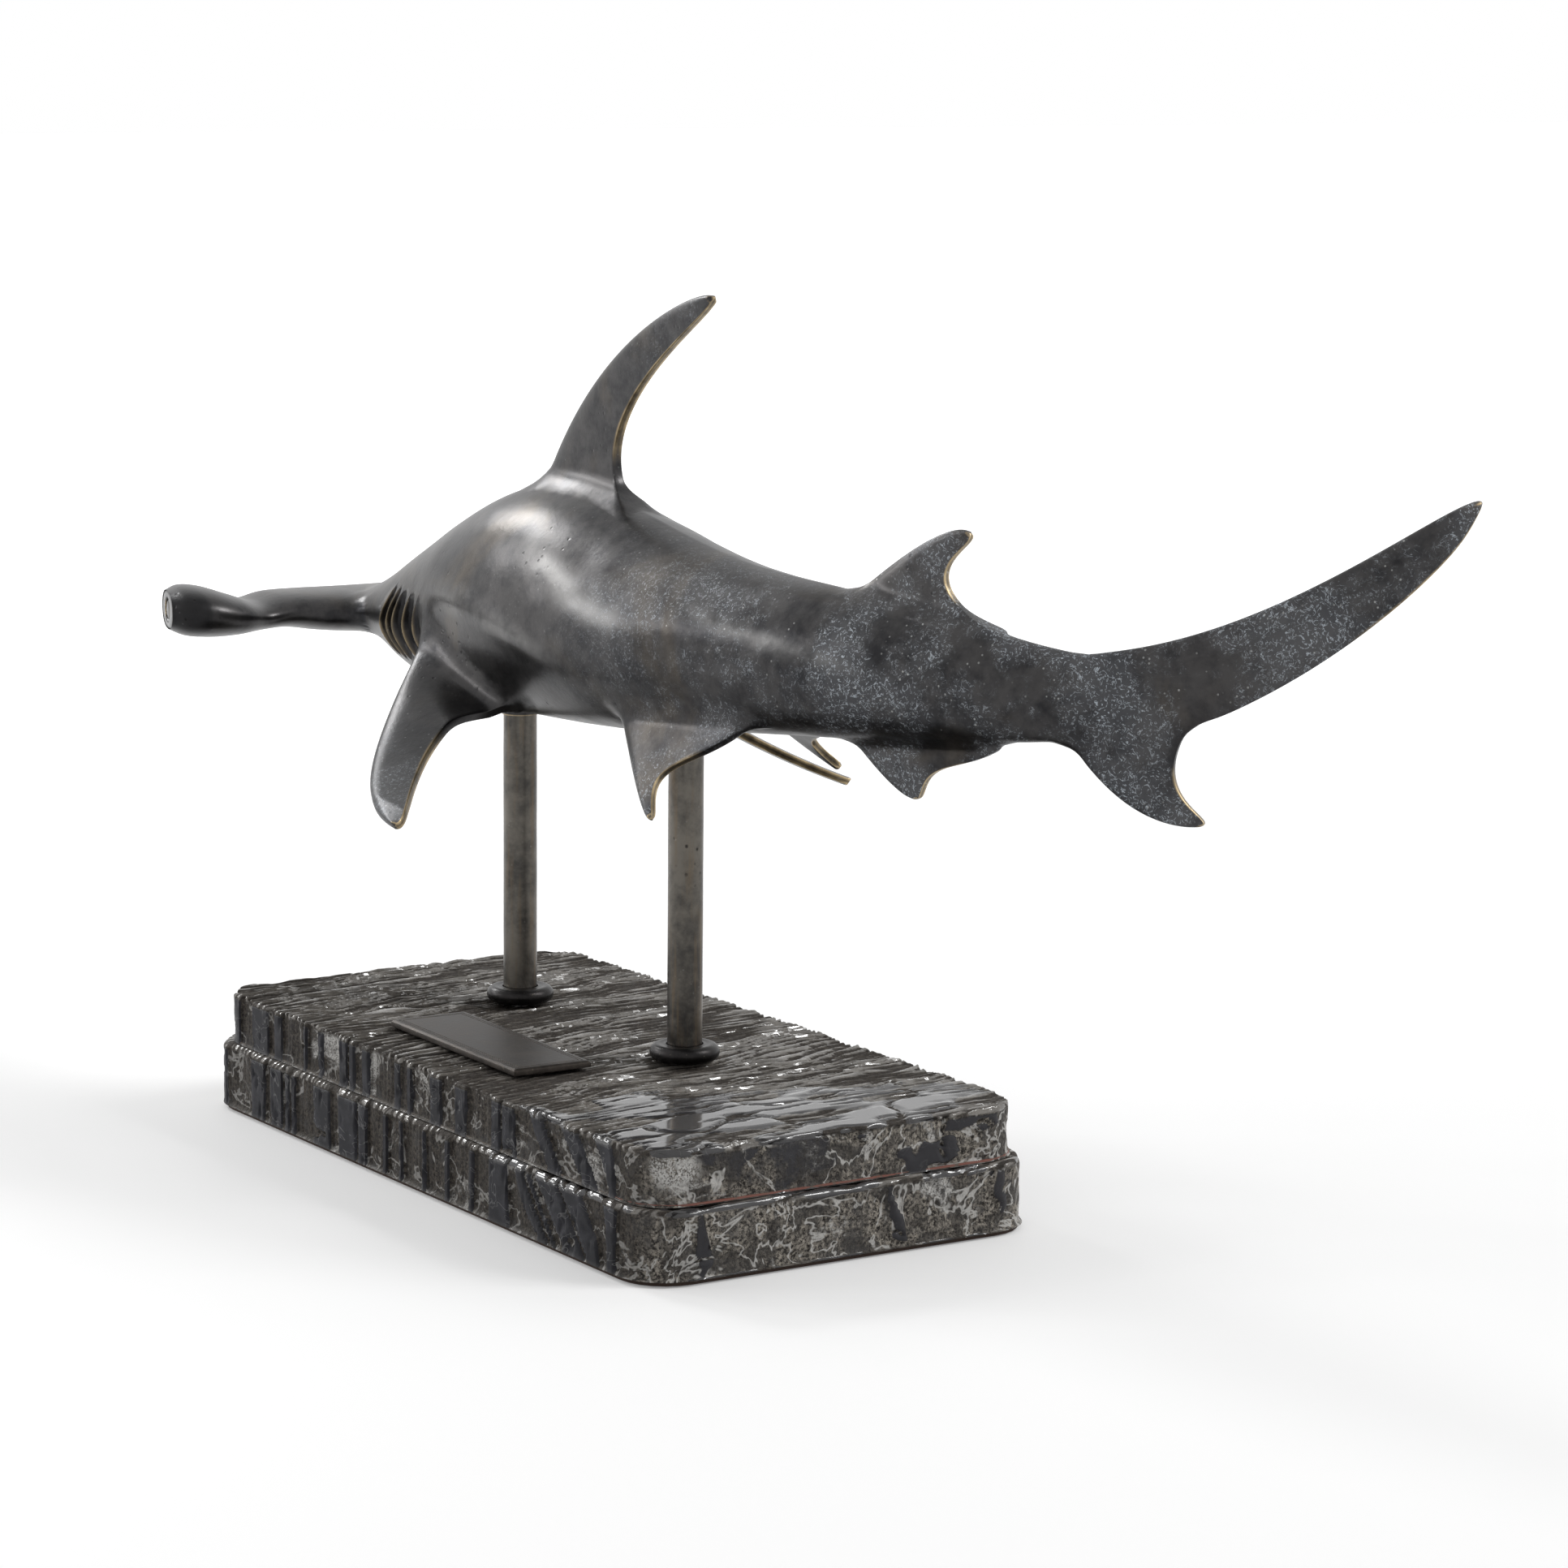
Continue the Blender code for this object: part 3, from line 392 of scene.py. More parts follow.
def bodyGrid():
    # oval sections carried along the spine, with the gill slits pressed into the sides
    rows, turn = bodyRows(), np.arange(body["columns"]) * 2 * math.pi / body["columns"]
    row, angle = np.meshgrid(rows, turn, indexing="ij")
    up, out = np.sin(angle), np.cos(angle)
    side = np.degrees(np.arcsin(np.clip(up, -1, 1)))
    station = row + gillBow(side) * bowShare(row)
    back, belly, half, middle = sectionShape(station)
    rise = np.where(up > 0, back - middle, middle - belly) * up
    aside = half * np.sign(out) * np.abs(out) ** sectionPower(up)
    sink, _, _ = gillShape(row, side)
    swell = (0.55 * softNoise(station / 34, side / 34, np.sign(out) * 0.5, 31) + 0.22
             * softNoise(station / 13, side / 20, np.sign(out), 32))
    ridge = (np.exp(-(((side - 5 + (station - 148) * 0.32) / 8.0) ** 2)) * ease(station, 104, 152)
             * (1 - ease(station, 190, 225)))
    sink -= 1.5 * ridge * ease(np.abs(out), 0.1, 0.5)
    sink += (0.4 + swell) * np.abs(out) ** 0.6 * ease(station, 60, 120) * (1 - ease(station, 330, 400))
    reach = np.hypot(aside, rise)
    shrink = 1 - sink / np.maximum(reach, 1)
    return withPoles(spinePlace(station, aside * shrink, middle + rise * shrink))


def finGrid(form, place):
    # a blade between its two edges: round in front, even over most of its chord, flat behind
    span = np.sin(np.linspace(0, 1, form["rows"]) * math.pi / 2)
    front, back = cubicCurve(form["lead"], span), cubicCurve(form["trail"], span)
    middle = (front + back) / 2
    close = np.sqrt(np.clip(1 - span**26, 0, 1))[:, None]
    front, back = middle + (front - middle) * close, middle + (back - middle) * close
    chord = np.linalg.norm(back - front, axis=1)[:, None]
    share = np.concatenate([0.3 * (1 - np.cos(np.linspace(0, 1, 10) * math.pi / 2)),
                            np.linspace(0.36, 0.955, 11)])
    blade = np.where(share < 0.3, np.sqrt(np.clip(1 - (1 - share / 0.3) ** 2, 0, 1)),
                     1 - 0.25 * np.clip((share - 0.3) / 0.7, 0, 1) ** 1.5)
    if "bar" in form:
        blade = np.where(share < form["bar"] * 0.8, blade, blade
                         * (1 - 0.52 * ease(share, form["bar"] * 0.8, form["bar"] * 1.25)))
    taper = 1 - 0.35 * span[:, None]
    half = form["thickness"] / 2 * blade[None] * taper
    edge = np.minimum(finEdge, 0.8 * chord) / 2
    half = np.maximum(half, edge * ease(share, 0.45, 0.8)[None])
    half = np.minimum(half, 0.5 * chord + 0.05)
    last = half[:, -1:]
    along = np.broadcast_to(share, half.shape)
    rear = np.minimum(0.35 / np.maximum(chord, 0.5), 0.03)
    along = np.concatenate([along, 1 - rear, 1 - rear * 0.25, np.ones_like(chord), np.ones_like(chord)],
                           axis=1)
    half = np.concatenate([half, last * 0.99, last * 0.9, np.maximum(last - 0.4, last * 0.5), last * 0],
                          axis=1)
    along = np.concatenate([along, along[:, -2:0:-1]], axis=1)
    half = np.concatenate([half, -half[:, -2:0:-1]], axis=1)
    flat = front[:, None] + (back - front)[:, None] * along[:, :, None]
    station, aside, height = place(flat[..., 0], flat[..., 1], half)
    radius = form.get("fillet", 3.0)
    swell = filletSwell(bodyDistance(station, aside, height), radius) * (1 - ease(station, 412, 440))
    sign = np.sign(half)
    spread = swell * 1.2 * (np.clip(along - 0.8, 0, 0.2) / 0.2 - np.clip(0.2 - along, 0, 0.2) / 0.2)
    station, aside, height = place(flat[..., 0] + spread, flat[..., 1], half + sign * swell
                                   * np.minimum(1, np.abs(half) / 0.8))
    return withPoles(spinePlace(station, aside, height))


def finPiece(name, form, place):
    # the blade with its rear arrises marked for wear
    grid = finGrid(form, place)
    marks = np.zeros(grid.shape[1])
    last = grid.shape[1] // 2
    marks[[last - 3, last - 2, last - 1, last, last + 1, last + 2, last + 3]] = 0.3, 1, 0.8, 0.2, 0.8, 1, 0.3
    shown = ease(np.linspace(0, 1, len(grid)), form.get("wornFrom", 0.2), form.get("wornFrom", 0.2) + 0.12)
    return gridPiece(name, grid, edge=shown[:, None] * marks)


def uprightPlace(form):
    # a fin on the midline: its outline carried up from the back or down from the belly
    back, belly, _ = [float(size[0]) for size in bodySize(np.array([float(form["station"])]))]
    if form["above"]:
        return lambda along, away, aside: (form["station"] + along, aside, back + away)
    return lambda along, away, aside: (form["station"] + along, aside, belly - away)


def lobePlace(form):
    # a lobe of the tail: its outline carried up or down from the spine
    return lambda along, away, aside: (form["station"] + along, aside, form["way"] * away)


def sidePlace(form, side):
    # the blade droops outwards, and its pitch runs out from the root to the tip
    droop = math.radians(form["droop"][side])
    root, tip = [math.radians(p) for p in form["pitch"]]

    def place(along, away, aside):
        away = away * form["span"][side]
        pitch = root + (tip - root) * np.clip(away / twistReach, 0, 1)
        pitch = pitch + math.radians(form.get("rootPitch", 0)) * (1 - ease(away, -4, 26))
        return (form["station"] + along * np.cos(pitch) + aside * np.sin(pitch),
                side * (form["out"] + away * math.cos(droop) + aside * math.sin(droop)),
                form["height"] - along * np.sin(pitch) - away * math.sin(droop)
                + aside * np.cos(pitch) * math.cos(droop))

    return place


def slanted(station, aside):
    # the ends slant forward: over the outer part of a wing, points further back lie further out
    reach, lead = hammer["stations"][-1, :2]
    share = np.clip((np.abs(aside) / reach - hammer["slantFrom"]) / (1 - hammer["slantFrom"]), 0, 1)
    return aside + np.sign(aside) * math.tan(hammer["slant"]) * (station - lead) * share**2


def hammerGrid():
    # blunt sections carried across the body; the end faces are drawn in to the eye's middle
    reach = hammer["stations"][-1, 0]
    across = np.sin(np.linspace(-1, 1, 150) * math.pi / 2) * reach
    lead, trail, lift, thick = [smoothCurve(hammer["stations"][:, 0], hammer["stations"][:, i],
                                            np.abs(across))
                                for i in range(1, 5)]
    turn = np.arange(72) * 2 * math.pi / 72
    roundX = np.sign(np.cos(turn)) * np.abs(np.cos(turn)) ** 0.85
    roundZ = np.sign(np.sin(turn)) * np.abs(np.sin(turn)) ** 0.85
    station = ((lead + trail) / 2)[:, None] + ((trail - lead) / 2)[:, None] * roundX
    height = lift[:, None] + (thick / 2)[:, None] * roundZ
    rings = np.stack([station, np.broadcast_to(across[:, None], station.shape), height], axis=-1)
    shrink = np.linspace(1, 0, 40)[1:, None]
    ends = []
    for side in (-1, 1):
        x = (trail[-1] - lead[-1]) / 2 * roundX * shrink
        z = thick[-1] / 2 * roundZ * shrink
        far = np.hypot(x, z / 0.8)
        groove = np.exp(-(((far - hammer["eyeRadius"] - 0.5) / 0.55) ** 2)) * hammer["eyeDepth"]
        ball = (0.55 * (1 - np.sqrt(np.clip(1 - (far / hammer["eyeRadius"]) ** 2, 0, 1)))
                * (far < hammer["eyeRadius"]))
        drop = groove + ball + 0.7 * np.exp(-((1 - shrink) / 0.06))
        ends.append(np.stack([(lead[-1] + trail[-1]) / 2 + x, side * (reach - drop), lift[-1] + z], axis=-1))
    rings = np.concatenate([ends[0][::-1], rings, ends[1]])
    return spinePlace(rings[..., 0], slanted(rings[..., 0], rings[..., 1]), rings[..., 2])


mouth = {"width": 34.0, "depth": 13.0, "station": 34.0, "opening": 3.4}


def mouthGrid():
    # a bent round bar, thin at its ends, that cuts a crescent under the head
    arc = np.linspace(-1, 1, 41)
    aside = mouth["width"] / 2 * np.sin(arc * math.pi / 2)
    station = mouth["station"] + mouth["depth"] * (1 - np.cos(arc * math.pi / 2))
    turn = np.arange(20) * 2 * math.pi / 20
    belly = float(bodySize(np.array([mouth["station"]]))[1][0])
    radius = (mouth["opening"] / 2 * (1 - 0.6 * arc**2))[:, None]
    return withPoles(spinePlace(station[:, None] + radius * np.cos(turn),
                                np.broadcast_to(aside[:, None], (41, 20)),
                                belly + 0.4 + radius * np.sin(turn)))


posts = {"front": -71.4, "rear": 41.1, "y": 7.6, "radius": 6.0, "engagement": 9.0, "clearance": 0.3,
         "studRadius": 3.0, "studInPost": 16.0, "weldReach": 2.6, "weldDrop": 3.0}
base = {"liner": 1.2, "clearance": 0.3, "lowerThickness": 23.1, "resin": 0.6, "upperThickness": 17.4,
        "drillRadius": 3.3, "sinkRadius": 11.0, "sinkDepth": 10.0, "past": 2.0}
lowerBottom = base["liner"] + base["clearance"]
lowerTop = lowerBottom + base["lowerThickness"]
upperBottom = lowerTop + base["resin"] + 2 * base["clearance"]
upperTop = upperBottom + base["upperThickness"]
postBottom = upperTop + base["clearance"]


def bellyOver(x):
    # height of the belly's lowest line above the base's underside
    return spine["height"] + float(bodySize(np.array([x - spine["noseX"]]))[1][0])


def sectionPlace(points):
    # distance from the nose, angle up the side, and distance off the skin, for points of the casting
    station = points[:, 0] - spine["noseX"]
    for _ in range(6):
        middleX, middleY = np.interp(station, spineWalk, spineX), np.interp(station, spineWalk, spineY)
        turned = heading(station)
        station = (station + (points[:, 0] - middleX) * np.cos(turned) + (points[:, 1] - middleY)
                   * np.sin(turned))
    aside = -(points[:, 0] - middleX) * np.sin(turned) + (points[:, 1] - middleY) * np.cos(turned)
    height = points[:, 2] - spine["height"]
    back, belly, half, middle = sectionShape(station)
    rise = (height - middle) / np.where(height > middle, back - middle, middle - belly)
    out = (np.abs(aside) / half) ** (1 / sectionPower(height - middle))
    return station, np.degrees(np.arctan2(rise, out)), bodyDistance(station, aside, height)


def gillMarks(points):
    # the slits' shade and lips at points of the finished casting, their rows found by trial
    station, side, off = sectionPlace(points)
    row = station.copy()
    for _ in range(8):
        row = station - gillBow(side) * bowShare(row)
    _, shade, lip = gillShape(row, side)
    near = 1 - ease(off, 0.8, 1.6)
    return shade * near, lip * near


# start, end, angle up the side at the start, fall, width, strength
highlightStreaks = ((190, 252, 34, 0.38, 8, 0.7), (132, 205, 10, 0.32, 6, 0.8), (282, 350, 32, 0.37, 6, 0.7))


def flankHighlights(points):
    # painted highlight streaks that run down and back along each flank, each a bell curve across its falling
    # line
    station, side = sectionPlace(points)[:2]
    total = np.zeros(len(points))
    for start, end, top, fall, width, level in highlightStreaks:
        along = ease(station, start - 12, start + 8) * (1 - ease(station, end - 12, end + 12))
        off = side - top + (station - start) * fall + 2.5 * softNoise(station / 9, side / 9, 0.5, 41)
        total = np.maximum(total, level * along * np.exp(-((off / width) ** 2)))
    return total


smoothing = {"neckWeight": 0.6, "neckRounds": 70, "creaseWeight": 0.55, "tailWeight": 0.5, "rounds": 64,
             "spread": 8}


def makeShark():
    # joins the forms, smooths where they meet, cuts the sockets and the mouth, stores what the finish reads
    shark = gridPiece("sharkCasting", bodyGrid())
    added = [gridPiece("hammer", hammerGrid())]
    for name, form in uprightFins.items():
        added.append(finPiece(name, form, uprightPlace(form)))
    for name, form in tailLobes.items():
        added.append(finPiece(name, form, lobePlace(form)))
    for name, form in sideFins.items():
        for side in (-1, 1):
            added.append(finPiece(name + ("Left" if side < 0 else "Right"), form, sidePlace(form, side)))
    for place in ("front", "rear"):
        low = bellyOver(posts[place]) - posts["weldDrop"]
        inner = posts["radius"] + posts["clearance"]
        flare = [(inner + posts["weldReach"] * t**2.2 + 0.12, low + posts["weldDrop"] * 2 * t)
                 for t in np.linspace(0, 1, 14)]
        added.append(turnedPiece(place + "Weld", [(0, low)] + flare + [(0, low + posts["weldDrop"] * 2)],
                                 (posts[place], posts["y"]), 64))
    combine(shark, added, "UNION")
    print("shark: union of", len(added) + 1, "forms,", len(shark.data.polygons), "faces")
    points, edges, _ = meshArrays(shark.data)
    station = points[:, 0] - spine["noseX"]
    off = bodyDistance(station, points[:, 1] - spine["y"], points[:, 2] - spine["height"])
    neck = ease(station, 34, 46) * (1 - ease(station, 66, 70)) * (1 - ease(off, 5, 9))
    relax(shark, smoothing["neckWeight"] * neck, smoothing["neckRounds"])
    crease = ease(-bendOf(shark, 1), 0.12, 0.4) * ease(station, 106, 114)
    for _ in range(smoothing["spread"]):
        crease = np.maximum(crease, neighbourMean(crease, edges, len(points)))
    tail = ease(station, 398, 412) * (1 - ease(station, 425, 445)) * (1 - ease(np.abs(off), 3, 7))
    crease = smoothing["creaseWeight"] * np.clip(crease * 1.6, 0, 1)
    relax(shark, np.clip(np.maximum(crease, smoothing["tailWeight"] * tail), 0, 0.6), smoothing["rounds"])
    sockets = [gridPiece("mouthBar", mouthGrid())]
    for place in ("front", "rear"):
        belly = bellyOver(posts[place])
        sockets.append(borer(place + "Socket", posts["radius"] + posts["clearance"], belly - 9,
                             belly + posts["engagement"], place, 64))
    combine(shark, sockets, "DIFFERENCE")
    bend = bendOf(shark)
    points, _, _ = meshArrays(shark.data)
    station = points[:, 0] - spine["noseX"]
    shade, lip = gillMarks(points)
    keepValues(shark, "wearAndHighlight", np.maximum(np.maximum(ease(bend, 0.3, 1.0) * 0.8, readValues(shark, "edge")),
                                         lip * 0.4))
    away = np.abs(points[:, 1] - spine["y"])
    pectoral = (station > 100) * (station < 230)
    # painted shade: the pectoral fins, their outer parts and the hammer's ends are darkened through the tone
    # value
    paintedShadeDim = 1 - 0.65 * ease(away, 36, 44) * pectoral
    paintedShadeDim *= 1 - 0.75 * (ease(away, 78, 80.5) * (station < 70))
    paintedShadeDim *= 1 - 0.6 * ease(away, 52, 72) * pectoral
    keepValues(shark, "tone", paintedShadeDim)
    keepValues(shark, "paintedHighlight", flankHighlights(points))
    # painted shade inside the gill slits, joined with the darkening of creases and grooves
    keepValues(shark, "sunkShade", np.maximum(ease(-bend, 0.12, 0.7) * 0.7, shade))
    bloom = ease(station, 195, 310) * (0.55 + 0.45 * ease(station, 300, 380))
    bloom += 0.3 * ease(away, 45, 75) * ease(station, 125, 165) * (station < 230)
    keepValues(shark, "bloom", np.clip(bloom, 0, 1))
    shark.data.shade_smooth()
    shark.data.set_sharp_from_angle(angle=math.radians(50))
    return shark


# The stone base: where each slab is hard, and its flat dark islands on the end face, as (y, z) corners

stoneSlabs = {
    "lowerSlab": {"length": 310.0, "width": 153.6, "bottom": lowerBottom, "top": lowerTop, "chamfer": 3.0,
                  "corner": 18.0, "seed": 11, "topRelief": 0.2,
                  "islands": [[(-31, 26), (-24, 26), (-19, 8), (-28, 11)],
                              [(-3, 26), (4, 26), (9, 13), (2, 15)],
                              [(36, 26), (43, 26), (38, 5), (32, 7)],
                              [(-58, 25), (-54, 25), (-50, 6), (-57, 2)],
                              [(55, 25), (58, 25), (62, 10), (57, 8)],
                              [(15, 24), (18, 24), (23, 4), (17, 5)]],
                  "hard": [(-146, -138), (-118, -107.9), (-102.9, -94), (-91.7, -88.5), (-86.9, -84.2),
                           (-70.5, -58),
                           (-51.4, -39.1), (-37.3, -31.7), (-19.7, -17.2), (-8.7, -6.6), (7.5, 9.6), (24, 27),
                           (41, 44), (54.5, 66.4), (73.9, 80.5), (83, 86), (90.4, 104.2), (105.8, 119.4),
                           (130, 136)]},
    "upperSlab": {"length": 303.6, "width": 148.0, "bottom": upperBottom - 1.1, "top": upperTop,
                  "chamfer": 1.8,
                  "corner": 18.0, "seed": 23, "topRelief": 1.9, "calcite": (-64, 37, 11, 8),
                  "islands": [[(-57, 45), (-10, 45), (-3, 31), (-24, 25.5), (-40, 29), (-53, 37)],
                              [(36, 45), (59, 45), (61, 36), (40, 37)],
                              [(20, 34), (44, 36), (46, 27), (24, 26)],
                              [(2, 45), (12, 45), (10, 38), (4, 39)]],
                  "hard": [(-141, -133), (-123.2, -111), (-106, -100.1), (-83.3, -81), (-72, -69),
                           (-56.4, -50.7),
                           (-48.8, -45.1), (-39.5, -34.8), (-17.3, -13.7), (-8.2, -5.5), (7.9, 15.8),
                           (25.5, 33.3),
                           (51.3, 56.4), (58.1, 66.5), (80, 89), (102.4, 113), (124, 131)]},
}


def layerPlace(form, x, y, z):
    # where a point lies across the layers: x, bent slowly along y and leaning near the right end
    lean = 0.9 * ease(x, 62, 86) * (1 - ease(x, 118, 134))
    seed = form["seed"]
    bent = 3.2 * softNoise(x / 60, y / 46, 0, seed) + 1.1 * softNoise(x / 16, y / 17, z / 30, seed + 1)
    return x + lean * (z - form["top"] + 8) + bent * ease(np.abs(y), 90, 40) + bent * 0.25


def hardness(form, across):
    # 1 on the polished bands, 0 between them, with 0.4 mm wide steps
    total = np.zeros_like(across)
    for start, end in form["hard"]:
        total = np.maximum(total, ease(across, start - 0.25, start + 0.25)
                           * (1 - ease(across, end - 0.25, end + 0.25)))
    return total


def sideDepth(form, x, y, z):
    # soft layers are worn back in fine uneven laminae, hard ones stay proud with a few nicks
    across, seed = layerPlace(form, x, y, z), form["seed"]
    hard = hardness(form, across)
    broken = softNoise(x / 9, z / 6, y / 20, seed + 20)
    hard = hard * (1 - ease(broken, 0.45, 0.6) * ease(form["bottom"] + 0.45 * (form["top"] - form["bottom"])
                                                      - z, -3, 3))
    lamina = 0.5 + 0.5 * softNoise(across / 1.05, z / 26, y / 60, seed + 2)
    broad = 0.5 + 0.5 * softNoise(across / 4.5, z / 14, 0, seed + 3)
    rough = 0.5 + 0.5 * softNoise(across / 1.2, z / 2.6, y / 2.6, seed + 4)
    nick = ease(softNoise(x / 2.6, z / 3.4, 0, seed + 5), 0.55, 0.8)
    ledge = ease(form["bottom"] + 5 - z + 3 * softNoise(x / 7, 0, 0, seed + 21), 0, 3) * (form["seed"] > 20)
    soft = 0.45 + 0.8 * lamina + 0.8 * broad + 0.45 * rough
    return (hard * (0.7 * nick + 0.25 * ledge) + (1 - hard) * (soft - 0.5 * ledge), hard, lamina
            * (0.4 + 0.6 * rough))


def polishedTop(form, x, y):
    # where the top's ridges are ground flat, mostly towards the right end near the viewer
    seed = form["seed"]
    drift = 22 * softNoise(x / 34, y / 30, 0.5, seed + 6) + 9 * softNoise(x / 8, y / 13, 0.5, seed + 27)
    return ease(x - 0.55 * y + drift, 74, 104) * (0.2 + 0.8
                                                  * ease(softNoise(x / 10, y / 20, 2.5, seed + 12), -0.3,
                                                         -0.05))


def topDepth(form, x, y):
    # bark-like ridges along y of uneven height and length, dark furrows between them, flat where polished
    seed = form["seed"]
    across = (x + 5.0 * softNoise(x / 50, y / 34, 0, seed) + 2.2 * softNoise(x / 15, y / 13, 0, seed + 7)
              + 0.7 * softNoise(x / 5, y / 5, 0, seed + 13) + 0.12 * y)
    phase = across / 3.5 + 0.9 * softNoise(across / 9, y / 45, 0, seed + 8)
    ridge = ease(1 - np.abs(2 * (phase - np.floor(phase)) - 1), 0.1, 0.9)
    fine = across / 1.9 + 0.7 * softNoise(across / 4, y / 20, 0, seed + 9)
    fineRidge = ease(1 - np.abs(2 * (fine - np.floor(fine)) - 1), 0.1, 0.9)
    swell = ease(softNoise(across / 7 + 0.3 * softNoise(x / 9, y / 9, 1.5, seed + 26), y / 38, 0, seed + 10),
                 -0.5, 0.35)
    crest = ridge * (0.45 + 0.55 * swell) * 0.8 + 0.2 * fineRidge
    pit = ease(softNoise(across / 1.5, y / 22, 3.1, seed + 11), 0.32, 0.6)
    crackLine = 1 - ease(np.abs(softNoise(x / 17, y / 21, 7.7, seed + 22)), 0.0, 0.07)
    flat = polishedTop(form, x, y)
    gone = np.maximum(pit, crackLine)
    depth = form["topRelief"] * (1.02 - crest)
    return (depth * (1 - flat) + flat * (0.05 + 1.1 * gone), np.clip(crest, 0, 1) * (1 - flat) + flat
            * (1 - gone), flat * (1 - gone))


def endDepth(form, x, y, z):
    # the end faces show broken lumps: some flat and polished, some granular, with cracks between
    seed = form["seed"]
    lump = (softNoise(y / 15 + 0.25 * z, z / 11, x / 20, seed + 14) + 0.45
            * softNoise(y / 5, z / 4.5, x / 9, seed + 15))
    hard = ease(lump, 0.14, 0.26)
    rough = 0.5 + 0.5 * softNoise(y / 1.4, z / 1.4, x / 1.4, seed + 16)
    knob = 0.5 + 0.5 * softNoise(y / 4.5, z / 3.5, x / 4, seed + 18)
    crack = 1 - ease(np.abs(softNoise(y / 9, z / 16, x / 15, seed + 17)), 0.0, 0.09)
    ridge = ease(z, form["top"] - 4.0, form["top"] - 1.0) * ease(softNoise(y / 8, 0, 0, seed + 19), -0.1, 0.1)
    bentY = y + 3.4 * softNoise(y / 6, z / 5, 0.5, seed + 24)
    bentZ = z + 2.4 * softNoise(y / 5, z / 5, 4.5, seed + 25)
    for island in form["islands"]:
        inside = np.full(np.shape(y), 9.0)
        for (y0, z0), (y1, z1) in zip(island, island[1:] + island[:1]):
            length = math.hypot(y1 - y0, z1 - z0)
            inside = np.minimum(inside, -((z0 - z1) * (bentY - y0) + (y1 - y0) * (bentZ - z0)) / length)
        hard = np.maximum(hard * 0.8, ease(inside, -0.4, 0.5) * (x > 0))
    hard = np.maximum(hard, ridge) * (1 - crack)
    return (1 - hard) * (0.5 + 0.6 * rough + 1.0 * knob) + hard * 0.05 + 0.5 * crack, hard


def slabGrid(form):
    # a rounded-rectangle section carried along x, whose end rings draw in to a line across the end face
    half, corner, chamfer = form["length"] / 2, form["corner"], form["chamfer"]
    bottom, top = form["bottom"], form["top"]
    arc = half - corner * (1 - np.sin(np.linspace(0, 1, 26) * math.pi / 2))
    x = np.concatenate([-arc[::-1], np.linspace(-half + corner, half - corner, 402)[1:-1], arc])
    past = np.clip(np.abs(x) - (half - corner), 0, corner)
    side = form["width"] / 2 - corner + np.sqrt(corner**2 - past**2)
    toEnd = half - np.abs(x)
    drop = np.where(toEnd < chamfer, chamfer - np.sqrt(np.maximum(chamfer**2 - (chamfer - toEnd) ** 2, 0)), 0)
    reach = np.linspace(-1, 1, 82)
    bend = np.linspace(0, 1, 6)[1:-1] * math.pi / 2
    rise = np.linspace(0, 1, 14)
    # round the section: under, up one side, over its rounded arris, across the top and down again
    ring = [(r, 0, 0, 0) for r in reach[::-1]]
    up = [(0, t, 0) for t in rise[1:]] + [(chamfer * (1 - math.cos(b)), 1, chamfer * math.sin(b))
                                          for b in bend]
    ring += [(-1, *step) for step in up]
    ring += [(r, chamfer * abs(r), 1, chamfer) for r in reach]
    ring += [(1, *step) for step in up[::-1]]
    across, inset, part, lift = np.array(ring, float).T
    width = side[:, None] * across - np.sign(across) * inset
    z = bottom + ((top - drop)[:, None] - chamfer - bottom) * part + lift
    grid = np.stack([np.broadcast_to(x[:, None], width.shape), width, z], axis=-1)
    drawIn = np.linspace(0, 1, 15)[1:, None]
    ends = []
    for edge in (grid[0], grid[-1]):
        line = edge.copy()
        line[:, 2] = (bottom + top - chamfer) / 2
        line[:, 1] = across * (form["width"] / 2 - corner) * 0.9
        ends.append(edge[None] + (line - edge)[None] * drawIn[:, :, None])
    return np.concatenate([ends[0][::-1], grid, ends[1]])


def outwardNormals(grid):
    # cross product of the steps along and round the grid
    along = np.gradient(grid, axis=0)
    across = (np.roll(grid, -1, 1) - np.roll(grid, 1, 1)) / 2
    normal = np.cross(across, along)
    return normal / np.maximum(np.linalg.norm(normal, axis=-1, keepdims=True), 1e-9)


def makeSlab(name, form):
    # the plain slab moved in along its normals by the depths worked out for its top, sides and ends
    grid = slabGrid(form)
    normal = outwardNormals(grid)
    centre = np.array([0, 0, (form["bottom"] + form["top"]) / 2])
    if float(((grid - centre) * normal).sum()) < 0:
        normal = -normal
    x, y, z = grid[..., 0], grid[..., 1], grid[..., 2]
    toTop, toSide, toEnd = np.clip(normal[..., 2], 0, 1) ** 2, normal[..., 1] ** 2, normal[..., 0] ** 2
    under = ease(-normal[..., 2], 0.2, 0.5)
    foot = ease(z, form["bottom"], form["bottom"] + 1.2)
    sideways, above, endways = sideDepth(form, x, y, z)[0], topDepth(form, x, y)[0], endDepth(form, x, y,
        z)[0]
    depth = (toTop * above + toSide * sideways + toEnd * endways) * (1 - under) * (0.25 + 0.75 * foot)
    points = grid - normal * depth[..., None]
    return gridPiece(name, points)


